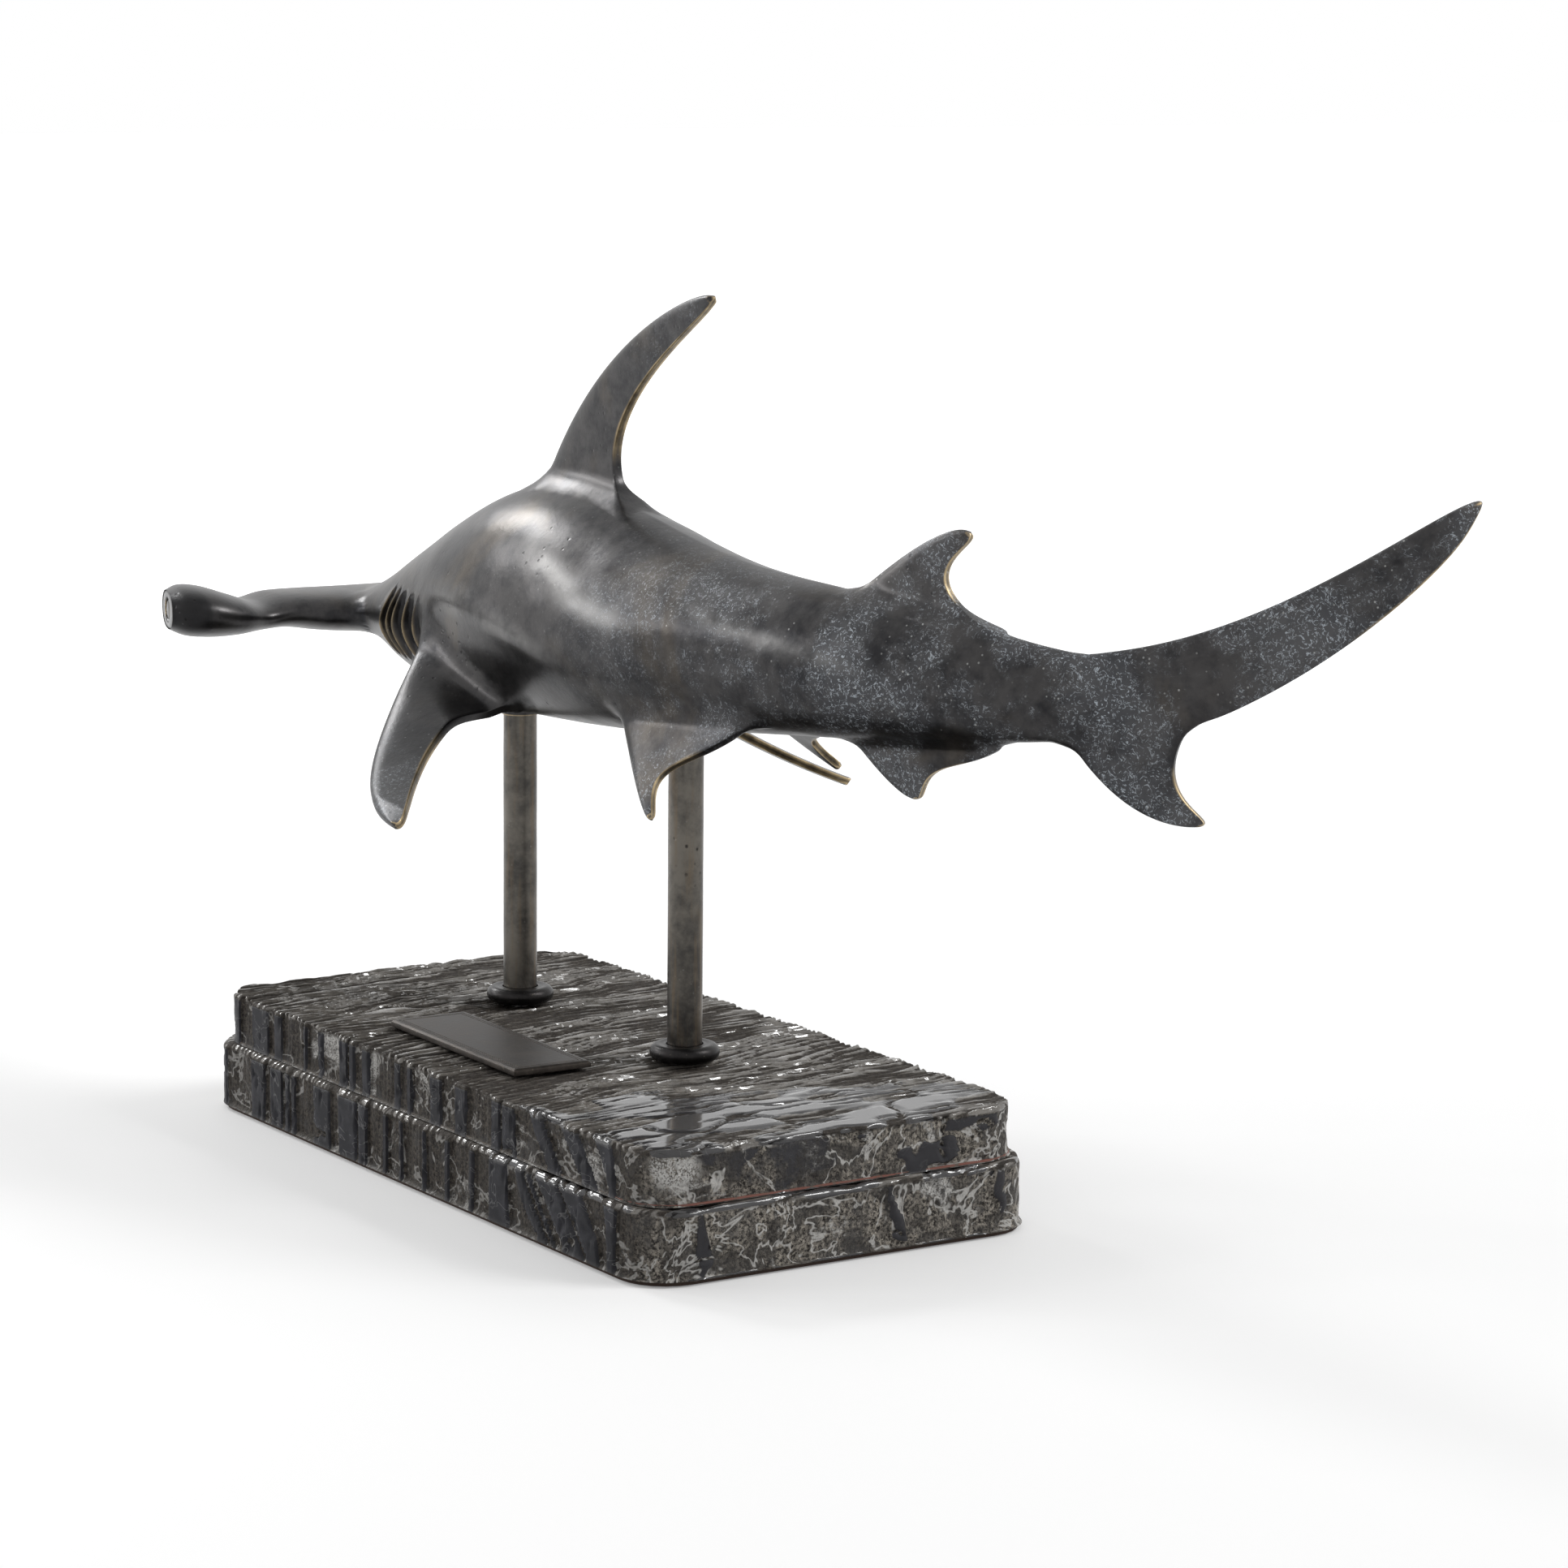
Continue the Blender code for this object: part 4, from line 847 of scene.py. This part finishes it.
def slabValues(slab, form):
    # how much of each pattern a point of the finished slab shows, for the stone's finish
    points, _, normals = meshArrays(slab.data)
    x, y, z = points.T
    _, sideHard, lamina = sideDepth(form, x, np.sign(y) * np.maximum(np.abs(y), 60), z)
    _, crest, flat = topDepth(form, x, y)
    _, endHard = endDepth(form, x, y, z)
    topMost = np.maximum(ease(z, form["top"] - 2.6, form["top"] - 1.6), ease(normals[:, 2], 0.6, 0.85))
    endMost = ease(np.abs(x), form["length"] / 2 - 13, form["length"] / 2 - 5) * (1 - topMost)
    hard = topMost * flat + (1 - topMost) * ((1 - endMost) * sideHard + endMost * endHard)
    paleY, paleZ, paleWide, paleHigh = form.get("calcite", (0, -99, 1, 1))
    pale = np.exp(-(((y - paleY) / paleWide) ** 2) - ((z - paleZ) / paleHigh) ** 2) * (x > 0)
    light = topMost * crest + (1 - topMost) * ((1 - endMost) * lamina * (1 - sideHard) + endMost
                                               * (0.45 + 0.55 * pale))
    keepValues(slab, "hard", np.clip(hard, 0, 1))
    keepValues(slab, "light", np.clip(light, 0, 1))
    keepValues(slab, "topSide", topMost)
    keepValues(slab, "endSide", endMost)
    bend = bendOf(slab, 1)
    # painted highlight: the stone's arrises are lightened through this mark; on the bronze it marks wear
    keepValues(slab, "wearAndHighlight", ease(bend, 0.3, 1.6))
    # painted shade: the stone's grooves are darkened through this mark
    keepValues(slab, "sunkShade", ease(-bend, 0.15, 1.2))


def makeBase():
    # both slabs, bored for the studs; the lower one is counterbored for washers and nuts
    slabs = []
    for name, form in stoneSlabs.items():
        slab = makeSlab(name, form)
        low, high = form["bottom"] - base["past"], form["top"] + base["past"]
        drills = [borer("drill", base["drillRadius"], low, high, place, 24) for place in ("front", "rear")]
        if name == "lowerSlab":
            drills += [borer("sink", base["sinkRadius"], low, form["bottom"] + base["sinkDepth"], place, 48)
                       for place in ("front", "rear")]
        combine(slab, drills, "DIFFERENCE")
        print(name, "after drilling", len(slab.data.vertices))
        slabValues(slab, form)
        slab.data.shade_smooth()
        slab.data.set_sharp_from_angle(angle=math.radians(60))
        print(name, len(slab.data.polygons), "faces")
        slabs.append(slab)
    return slabs


collars = {"radius": 12.0, "height": 5.8, "columns": 96}
plate = {"length": 92.0, "width": 29.6, "thickness": 2.2, "x": -11.2, "y": -39.2, "turn": math.radians(-1.5),
         "bevel": 0.9, "border": 2.0, "groove": 0.45, "grooveDepth": 0.3}


def makePost(place):
    # a straight bar turned round its axis, with a hole for the stud from below and slight unevenness
    x = posts[place]
    top = bellyOver(x) + posts["engagement"] - posts["clearance"]
    hole, radius = posts["studRadius"] + posts["clearance"], posts["radius"]
    holeTop = postBottom + posts["studInPost"] + posts["clearance"]
    profile = [(0, holeTop), (hole, holeTop), (hole, postBottom), (radius - 0.5, postBottom),
               (radius - 0.15, postBottom + 0.15)]
    profile += [(radius, h) for h in np.linspace(postBottom + 0.5, top - 0.5, 90)]
    profile += [(radius - 0.5, top), (0, top)]
    return turnedPiece(place + "PostBar", profile, (x, posts["y"]), 96, sharpAngle=50, unevenness=0.05,
                       seed=3)


def makeCollar(place):
    # a half-round rim turned round the post, with a small step on top
    inner, outer, height = posts["radius"] + posts["clearance"], collars["radius"], collars["height"]
    bulge = height / 2
    profile = [(inner, postBottom), (outer - bulge, postBottom)]
    for angle in np.radians(np.linspace(-80, 78, 22)):
        profile.append((outer - bulge + bulge * math.cos(angle), postBottom + bulge + bulge
                        * math.sin(angle)))
    profile += [(outer - bulge - 0.5, postBottom + height - 0.12),
                (outer - bulge - 1.2, postBottom + height - 0.3),
                (inner + 0.6, postBottom + height - 0.35), (inner + 0.2, postBottom + height - 0.2),
                (inner, postBottom + height - 0.5)]
    return turnedPiece(place + "CollarRing", profile, (posts[place], posts["y"]), collars["columns"],
                       loopRows=True,
                       sharpAngle=60, unevenness=0.03, seed=5)


def makePlate():
    # square rings from the underside up over the bevel and across the border's groove
    bottom = postBottom
    top = bottom + plate["thickness"]
    steps = [(0.0, bottom), (0.0, top - plate["bevel"]), (0.12, top - plate["bevel"] + 0.3),
             (plate["bevel"] - 0.12, top - 0.06), (plate["bevel"], top)]
    for start in (plate["border"], plate["border"] + 1.1):
        wide, deep = plate["groove"], plate["grooveDepth"]
        steps += [(start, top), (start + wide * 0.25, top - deep), (start + wide * 0.75, top - deep),
                  (start + wide, top)]
    rings = []
    cos, sin = math.cos(plate["turn"]), math.sin(plate["turn"])
    for inset, height in steps:
        halfX, halfY = plate["length"] / 2 - inset, plate["width"] / 2 - inset
        radius = max(0.8 - inset * 0.3, 0.15)
        corners = []
        for sx, sy, first in ((1, 1, 0), (-1, 1, 90), (-1, -1, 180), (1, -1, 270)):
            for t in np.radians(np.linspace(first, first + 90, 7)):
                corners.append((sx * (halfX - radius) + radius * math.cos(t), sy * (halfY - radius) + radius
                                * math.sin(t)))
        corners = np.array(corners)
        rings.append(np.stack([plate["x"] + corners[:, 0] * cos - corners[:, 1] * sin,
                               plate["y"] + corners[:, 0] * sin + corners[:, 1] * cos,
                               np.full(len(corners), height)], axis=-1))
    return gridPiece("namePlateBare", withPoles(np.array(rings)), sharpAngle=25)


class Signal:
    # a socket that can be used in sums: each operator adds one Math node
    def __init__(self, finish, socket):
        self.finish, self.socket = finish, socket

    def math(self, operation, first, second=None):
        inputs = {0: first} if second is None else {0: first, 1: second}
        return self.finish.node("ShaderNodeMath", {"operation": operation}, inputs)

    def __add__(self, other): return self.math("ADD", self, other)
    def __radd__(self, other): return self.math("ADD", other, self)
    def __sub__(self, other): return self.math("SUBTRACT", self, other)
    def __rsub__(self, other): return self.math("SUBTRACT", other, self)
    def __mul__(self, other): return self.math("MULTIPLY", self, other)
    def __rmul__(self, other): return self.math("MULTIPLY", other, self)
    def __abs__(self): return self.math("ABSOLUTE", self)


class Graph:
    def __init__(self, tree):
        self.tree = tree

    def node(self, kind, settings, inputs, output=0):
        made = self.tree.nodes.new(kind)
        for key, value in settings.items():
            setattr(made, key, value)
        for key, value in inputs.items():
            self.give(made.inputs[key], value)
        return Signal(self, made.outputs[output] if made.outputs else None)

    def give(self, socket, value):
        if isinstance(value, Signal):
            self.tree.links.new(value.socket, socket)
        elif isinstance(value, tuple) and len(value) == 3 and socket.type == "RGBA":
            socket.default_value = (*value, 1)
        else:
            socket.default_value = value


class Finish(Graph):
    def __init__(self, name):
        self.material = bpy.data.materials.new(name)
        self.material.use_nodes = True
        super().__init__(self.material.node_tree)
        self.shader = self.tree.nodes["Principled BSDF"]
        self.place = self.node("ShaderNodeTexCoord", {}, {}, "Object")

    def noise(self, scale, detail=4.0, roughness=0.55, distortion=0.0, place=None):
        return self.node("ShaderNodeTexNoise", {}, {"Vector": place or self.place, "Scale": scale,
                                                    "Detail": detail,
                                                    "Roughness": roughness, "Distortion": distortion})

    def stretch(self, scale, shift=(0, 0, 0)):
        return self.node("ShaderNodeMapping", {}, {"Vector": self.place, "Scale": scale, "Location": shift})

    def step(self, value, low, high):
        return self.node("ShaderNodeMapRange", {"interpolation_type": "SMOOTHSTEP"},
                         {"Value": value, "From Min": low, "From Max": high})

    def blend(self, share, one, two):
        return self.node("ShaderNodeMix", {"data_type": "RGBA"}, {0: share, 6: one, 7: two}, 2)

    def value(self, name):
        return self.node("ShaderNodeAttribute", {"attribute_name": name}, {}, "Fac")

    def bump(self, height, strength, distance):
        return self.node("ShaderNodeBump", {}, {"Height": height, "Strength": strength, "Distance": distance})

    def finish(self, **inputs):
        for key, value in inputs.items():
            self.give(self.shader.inputs[key.replace("_", " ")], value)
        return self.material


def castBronze(name="castBronze", dark=(0.017, 0.017, 0.019), mid=(0.052, 0.05, 0.05), streaked=False):
    # dark patina clouded with brown and gold, pale worm-like bloom, brassy arrises, fine pits; painted shade
    # on the pectoral fins, the hammer's ends and inside the gill slits, darkening in creases, and painted
    # highlight streaks on the flanks
    f = Finish(name)
    wearAndHighlight, sunkShade, bloom = f.value("wearAndHighlight"), f.value("sunkShade"), f.value("bloom")
    cloud = f.noise(24, 5, 0.6, 0.6)
    fineCloud = f.noise(150, 4, 0.65)
    colour = f.blend(f.step(cloud * 0.6 + fineCloud * 0.4, 0.36, 0.62), dark, mid)
    goldCloud = f.step(f.noise(15, 4, 0.6, 0.8, f.stretch((1, 1, 1), (0.3, 0.1, 0.7))), 0.54, 0.72)
    colour = f.blend(goldCloud * 0.35, colour, (0.1, 0.078, 0.05))
    if streaked:
        streak = f.noise(420, 3, 0.6, 0, f.stretch((1, 1, 0.06)))
        colour = f.blend(f.step(streak, 0.48, 0.75) * 0.6, colour, (0.13, 0.095, 0.06))
    if not streaked:
        # painted shade: the tone value darkens the pectoral fins and the hammer's ends
        colour = f.blend(f.value("tone"), (0.01, 0.01, 0.011), colour)
        # painted highlight: pale grey streaks along the flanks
        highlightShare = f.value("paintedHighlight") * f.step(f.noise(60, 4, 0.6), 0.25, 0.6)
        colour = f.blend(highlightShare * 0.6, colour, (0.2, 0.197, 0.192))
    # painted shade: near-black inside the gill slits, and darkening in the casting's creases and grooves
    colour = f.blend(sunkShade * 0.92, colour, (0.004, 0.0035, 0.003))
    worm = f.noise(330, 3, 0.6, 1.6)
    wormLine = 1 - f.step(abs(worm - 0.5), 0.008, 0.035)
    patch = f.step(f.noise(30, 4, 0.65), 0.4, 0.6)
    grain = f.step(f.noise(900, 2, 0.6), 0.42, 0.6)
    wormShare = wormLine * patch * bloom * grain
    colour = f.blend(bloom * patch * 0.3, colour, (0.13, 0.135, 0.145))
    colour = f.blend(wormShare * 0.85, colour, (0.45, 0.49, 0.53))
    fleck = f.node("ShaderNodeTexVoronoi", {"feature": "F1"},
                   {"Vector": f.place, "Scale": 420.0, "Randomness": 1.0})
    fleckShare = ((1 - f.step(fleck, 0.08, 0.2)) * f.step(f.noise(70, 3, 0.6), 0.5, 0.62)
                  * (0.15 + bloom * 0.6))
    colour = f.blend(fleckShare * 0.6, colour, (0.5, 0.51, 0.5))
    wearBreak = f.step(f.noise(120, 3, 0.6), 0.3, 0.6)
    colour = f.blend(wearAndHighlight * (0.35 + wearBreak * 0.6), colour, (0.62, 0.48, 0.28))
    roughness = 0.25 + fineCloud * 0.14 + wormShare * 0.3 + bloom * patch * 0.12 + sunkShade * 0.3
    pit = f.node("ShaderNodeTexVoronoi", {"feature": "F1"}, {"Vector": f.place, "Scale": 260.0})
    pits = (1 - f.step(pit, 0.05, 0.22)) * f.step(f.noise(22, 3, 0.6), 0.52, 0.68)
    height = f.noise(480, 4, 0.6) * 0.4 + f.noise(90, 3, 0.5) * 0.8 - pits * 1.2 + wormShare * 0.3
    colour = f.blend(pits * 0.8, colour, (0.006, 0.006, 0.006))
    return f.finish(Base_Color=colour, Metallic=0.9, Roughness=roughness, Normal=f.bump(height, 0.3, 0.0005))


def darkBronze(name="darkBronze", tone=(0.012, 0.011, 0.011), roughness=0.3):
    # near-black patina, slightly clouded, with a few pale specks
    f = Finish(name)
    cloud = f.noise(120, 4, 0.6)
    colour = f.blend(f.step(cloud, 0.35, 0.7), tone, tuple(c * 2.0 for c in tone))
    speck = f.step(f.noise(700, 2, 0.5), 0.66, 0.75)
    colour = f.blend(speck * 0.35, colour, (0.16, 0.14, 0.11))
    return f.finish(Base_Color=colour, Metallic=0.85, Roughness=roughness + cloud * 0.12,
                    Normal=f.bump(f.noise(500, 3, 0.6), 0.15, 0.0004))


def layeredStone():
    # blue-black polished bands under a gloss coat, matte grainy layers between, glossy crests above; painted
    # shade in the grooves and furrows, painted highlights on the arrises
    f = Finish("layeredStone")
    hard, light, topSide, endSide, wearAndHighlight, sunkShade = [f.value(n)
                                                 for n in ("hard", "light", "topSide", "endSide", "wearAndHighlight",
                                                           "sunkShade")]
    grain = f.noise(800, 4, 0.75)
    mottle = f.noise(120, 4, 0.65)
    speckle = f.noise(1700, 2, 0.6)
    stripe = f.noise(620, 3, 0.6, 0.3, f.stretch((1, 0.1, 1)))
    lamina = f.noise(700, 3, 0.6, 0.2, f.stretch((1, 1, 0.07)))
    hard = f.step(hard + (mottle - 0.5) * 0.5 + (grain - 0.5) * 0.3, 0.4, 0.6)
    soft = f.blend(f.step(grain, 0.38, 0.66), (0.012, 0.01, 0.009), (0.095, 0.083, 0.07))
    soft = f.blend(endSide * f.step(grain, 0.4, 0.62) * 0.8, soft, (0.4, 0.365, 0.315))
    soft = f.blend(endSide * f.step(f.noise(52, 4, 0.65, 0.8), 0.47, 0.58) * 0.75, soft,
                   (0.035, 0.032, 0.031))
    soft = f.blend(f.step(lamina, 0.42, 0.62) * 0.5, soft, (0.05, 0.046, 0.042))
    soft = f.blend(f.step(light, 0.4, 0.9) * 0.25, soft, (0.26, 0.24, 0.21))
    soft = f.blend(f.step(mottle, 0.5, 0.68) * 0.55, soft, (0.06, 0.058, 0.058))
    # paler crests and darker furrows on the top: partly the stone's own colour, partly painted shade in the
    # furrows
    topTone = f.blend(f.step(light + (stripe - 0.5) * 1.3, 0.34, 0.74), (0.034, 0.029, 0.025),
                      (0.2, 0.185, 0.165))
    topTone = f.blend(f.step(grain, 0.42, 0.66) * 0.5, topTone, (0.11, 0.095, 0.08))
    topTone = f.blend(f.step(mottle, 0.42, 0.62) * 0.4, topTone, (0.045, 0.041, 0.038))
    body = f.blend(topSide, soft, topTone)
    polished = f.blend(f.step(mottle, 0.4, 0.7), (0.008, 0.008, 0.011), (0.026, 0.026, 0.032))
    vein = 1 - f.step(abs(f.noise(60, 3, 0.5, 1.2) - 0.5), 0.002, 0.008)
    polished = f.blend(vein * 0.3, polished, (0.25, 0.25, 0.25))
    polished = f.blend(endSide * 0.8, polished, (0.022, 0.021, 0.024))
    polished = f.blend(topSide * 0.5, polished, (0.05, 0.047, 0.045))
    colour = f.blend(hard, body, polished)
    calcite = f.step(f.noise(40, 5, 0.7, 0.8, f.stretch((1, 1, 1), (0.02, 0.05, 0.1))), 0.56, 0.66)
    colour = f.blend(calcite * (1 - hard) * (1 - topSide) * f.step(speckle, 0.3, 0.6) * 0.85, colour,
                     (0.55, 0.54, 0.52))
    streak = 1 - f.step(abs(f.noise(45, 4, 0.6, 0.6) - 0.52), 0.004, 0.02)
    colour = f.blend(streak * (1 - hard) * (1 - topSide) * (0.45 + endSide * 0.35), colour, (0.5, 0.49, 0.47))
    pale = endSide * f.step(light, 0.6, 0.9) * f.step(speckle + (mottle - 0.5) * 0.8, 0.34, 0.58)
    colour = f.blend(pale * (1 - hard) * 0.85, colour, (0.62, 0.61, 0.59))
    # painted highlight: pale grey along the arrises
    colour = f.blend(wearAndHighlight * (1 - hard * 0.6) * 0.5, colour, (0.42, 0.4, 0.37))
    # painted shade: near-black in the grooves
    colour = f.blend(sunkShade * 0.8, colour, (0.01, 0.008, 0.006))
    glint = f.step(f.noise(1300, 2, 0.6), 0.62, 0.7)
    coat = (hard * (0.25 + topSide * 0.45 + endSide * 0.1) + topSide
            * f.step(light + (stripe - 0.5) * 1.4, 0.45, 0.7) * 0.95 + wearAndHighlight + glint * 0.1 - sunkShade)
    coat = f.step(coat, 0, 1)
    height = ((grain * 0.6 + speckle * 0.4 + topSide * stripe * 1.5 + (1 - topSide) * lamina * 0.8)
              * (1 - hard) + mottle * 0.15)
    f.shader.inputs["Coat Roughness"].default_value = 0.09
    return f.finish(Base_Color=colour, Roughness=0.62, Specular_IOR_Level=0.12, Coat_Weight=coat,
                    Normal=f.bump(height, 0.7, 0.0008))


def resinFinish():
    # grey-brown adhesive that turns reddish towards the tail end
    f = Finish("redAdhesive")
    x = f.node("ShaderNodeSeparateXYZ", {}, {"Vector": f.place}, "X")
    colour = f.blend(f.step(x, 0.118, 0.14), (0.09, 0.078, 0.066), (0.2, 0.075, 0.055))
    colour = f.blend(f.step(f.noise(300), 0.5, 0.7), colour, (0.12, 0.09, 0.07))
    return f.finish(Base_Color=colour, Roughness=0.5)


def plainFinish(name, colour, roughness, metallic=0.0):
    f = Finish(name)
    return f.finish(Base_Color=colour, Roughness=roughness, Metallic=metallic)


print("making the shark")
shark = makeShark()
print("making the base")
slabs = makeBase()
print("making posts, collars and plate")
bars = {place: makePost(place) for place in ("front", "rear")}
rings = {place: makeCollar(place) for place in ("front", "rear")}
namePlate = makePlate()

bronze = castBronze()
barBronze = castBronze("barBronze", (0.042, 0.04, 0.038), (0.125, 0.115, 0.1), streaked=True)
collarBronze = darkBronze()
plateBronze = darkBronze("plateBronze", (0.024, 0.02, 0.017), 0.4)
stone = layeredStone()


def dress(thing, material, slot, *nodes):
    thing.data.materials.clear()
    thing.data.materials.append(material)
    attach(thing, "root")
    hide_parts(*nodes)


dress(shark, bronze, "cast_bronze", "shark_casting")
dress(slabs[0], stone, "layered_stone", "lower_slab")
dress(slabs[1], stone, "layered_stone", "upper_slab")
for place in ("front", "rear"):
    dress(bars[place], barBronze, "cast_bronze", place + "_post")
    dress(rings[place], collarBronze, "dark_bronze", place + "_collar")
dress(namePlate, plateBronze, "dark_bronze", "name_plate")

steel = plainFinish("zincSteel", (0.45, 0.45, 0.44), 0.4, 1.0)
nodeFinishes = {"joint_resin": resinFinish(), "base_liner": plainFinish("brownLiner", (0.035, 0.02, 0.014),
                                                                        0.9)}
for name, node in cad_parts.items():
    material = nodeFinishes.get(name, steel if name.split("_")[-1] in ("stud", "nut", "washer") else None)
    if material:
        node.data.materials.clear()
        node.data.materials.append(material)

stageSet = {"floorSize": 24.0, "floorColour": (0.8, 0.8, 0.8), "floorGlow": 0.2, "farGlow": 0.46,
            "floorDrop": 0.0004,
            "worldLevel": 0.42,
            "sun": {"from": (0.6, 0.8, 0.8), "strength": 1.0, "angle": 26.0},
            "back": {"place": (-1.83, -0.25, 1.3), "aim": (0, 0, 0.15), "size": 0.45, "power": 12},
            "sideHigh": {"place": (-1.58, -0.92, 0.99), "aim": (0, 0, 0.18), "size": 0.5, "power": 6.5},
            "sideLow": {"place": (-1.36, -1.42, 0.6), "aim": (0, 0, 0.18), "size": 0.26, "power": 4},
            "flank": {"place": (-0.92, -1.6, 0.86), "aim": (0, 0, 0.18), "size": 0.45, "power": 3.8},
            "right": {"place": (0.9, 1.08, 1.42), "aim": (0, 0, 0.1), "size": 0.35, "power": 7}}
camera = {"azimuth": 56.969, "elevation": 9.2877, "roll": 0.508, "place": (1.38538, -0.82698, 0.39755),
          "lens": 109.0}


def seenRays(graph):
    # the rays to which the pale background shows: the camera's, and those off gloss and through glass
    return [graph.node("ShaderNodeLightPath", {}, {}, "Is " + kind + " Ray")
            for kind in ("Camera", "Glossy", "Transmission")]


def makeStage():
    half = stageSet["floorSize"] / 2
    mesh = bpy.data.meshes.new("floor")
    corners = [(x * half, y * half, -stageSet["floorDrop"]) for x, y in ((-1, -1), (1, -1), (1, 1), (-1, 1))]
    mesh.from_pydata(corners, [], [(0, 1, 2, 3)])
    floor = addObject("floor", mesh)
    paper = Finish("paleFloor")
    rays = seenRays(paper)
    far = paper.node("ShaderNodeVectorMath", {"operation": "LENGTH"}, {0: paper.place}, "Value")
    glow = (rays[0] + rays[1] + rays[2]) * (stageSet["floorGlow"] + paper.step(far, 0.45, 2.0)
                                            * stageSet["farGlow"])
    floor.data.materials.append(paper.finish(Base_Color=stageSet["floorColour"], Roughness=0.7,
                                             Emission_Color=glow,
                                             Emission_Strength=1.0))
    world = bpy.data.worlds.new("studio")
    bpy.context.scene.world = world
    world.use_nodes = True
    world.node_tree.nodes.clear()
    sky = Graph(world.node_tree)
    rays = seenRays(sky)
    seen = rays[0].math("MAXIMUM", rays[0], rays[1])
    seen = seen.math("MAXIMUM", seen, rays[2])
    level = sky.node("ShaderNodeMapRange", {}, {"Value": seen, "To Min": stageSet["worldLevel"],
                                                "To Max": 1.0})
    light = sky.node("ShaderNodeBackground", {}, {"Color": (1, 1, 1), "Strength": level})
    sky.node("ShaderNodeOutputWorld", {}, {"Surface": light})
    sun = bpy.data.lights.new("sun", "SUN")
    sun.energy, sun.angle = stageSet["sun"]["strength"], math.radians(stageSet["sun"]["angle"])
    addObject("sun", sun).rotation_euler = Vector(stageSet["sun"]["from"]).to_track_quat("Z", "Y").to_euler()
    for name in ("back", "sideHigh", "sideLow", "flank", "right"):
        form = stageSet[name]
        lamp = bpy.data.lights.new(name, "AREA")
        lamp.shape = "DISK"
        lamp.size = form["size"]
        lamp.energy = form["power"]
        thing = addObject(name, lamp)
        thing.location = form["place"]
        thing.rotation_euler = (Vector(form["aim"]) - Vector(form["place"])).to_track_quat("-Z",
            "Y").to_euler()


def makeCamera():
    # looks along the photograph's azimuth and elevation, turned by its small roll
    azimuth, elevation, roll = [math.radians(camera[k]) for k in ("azimuth", "elevation", "roll")]
    ahead = Vector((-math.sin(azimuth) * math.cos(elevation), math.cos(azimuth) * math.cos(elevation),
                    -math.sin(elevation)))
    right = ahead.cross(Vector((0, 0, 1))).normalized()
    up = right.cross(ahead)
    turnedRight = math.cos(roll) * right + math.sin(roll) * up
    turnedUp = -math.sin(roll) * right + math.cos(roll) * up
    data = bpy.data.cameras.new("camera")
    data.lens = camera["lens"]
    data.sensor_width = 36
    data.clip_end = 50
    thing = addObject("camera", data)
    matrix = Matrix((turnedRight, turnedUp, -ahead)).transposed().to_4x4()
    matrix.translation = Vector(camera["place"])
    thing.matrix_world = matrix
    bpy.context.scene.camera = thing


makeStage()
makeCamera()
bpy.context.scene.view_settings.view_transform = "Standard"

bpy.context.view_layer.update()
for piece in (shark, *slabs, *bars.values(), *rings.values(), namePlate):
    piece.data.calc_loop_triangles()
    print(piece.name, len(piece.data.loop_triangles), "triangles")
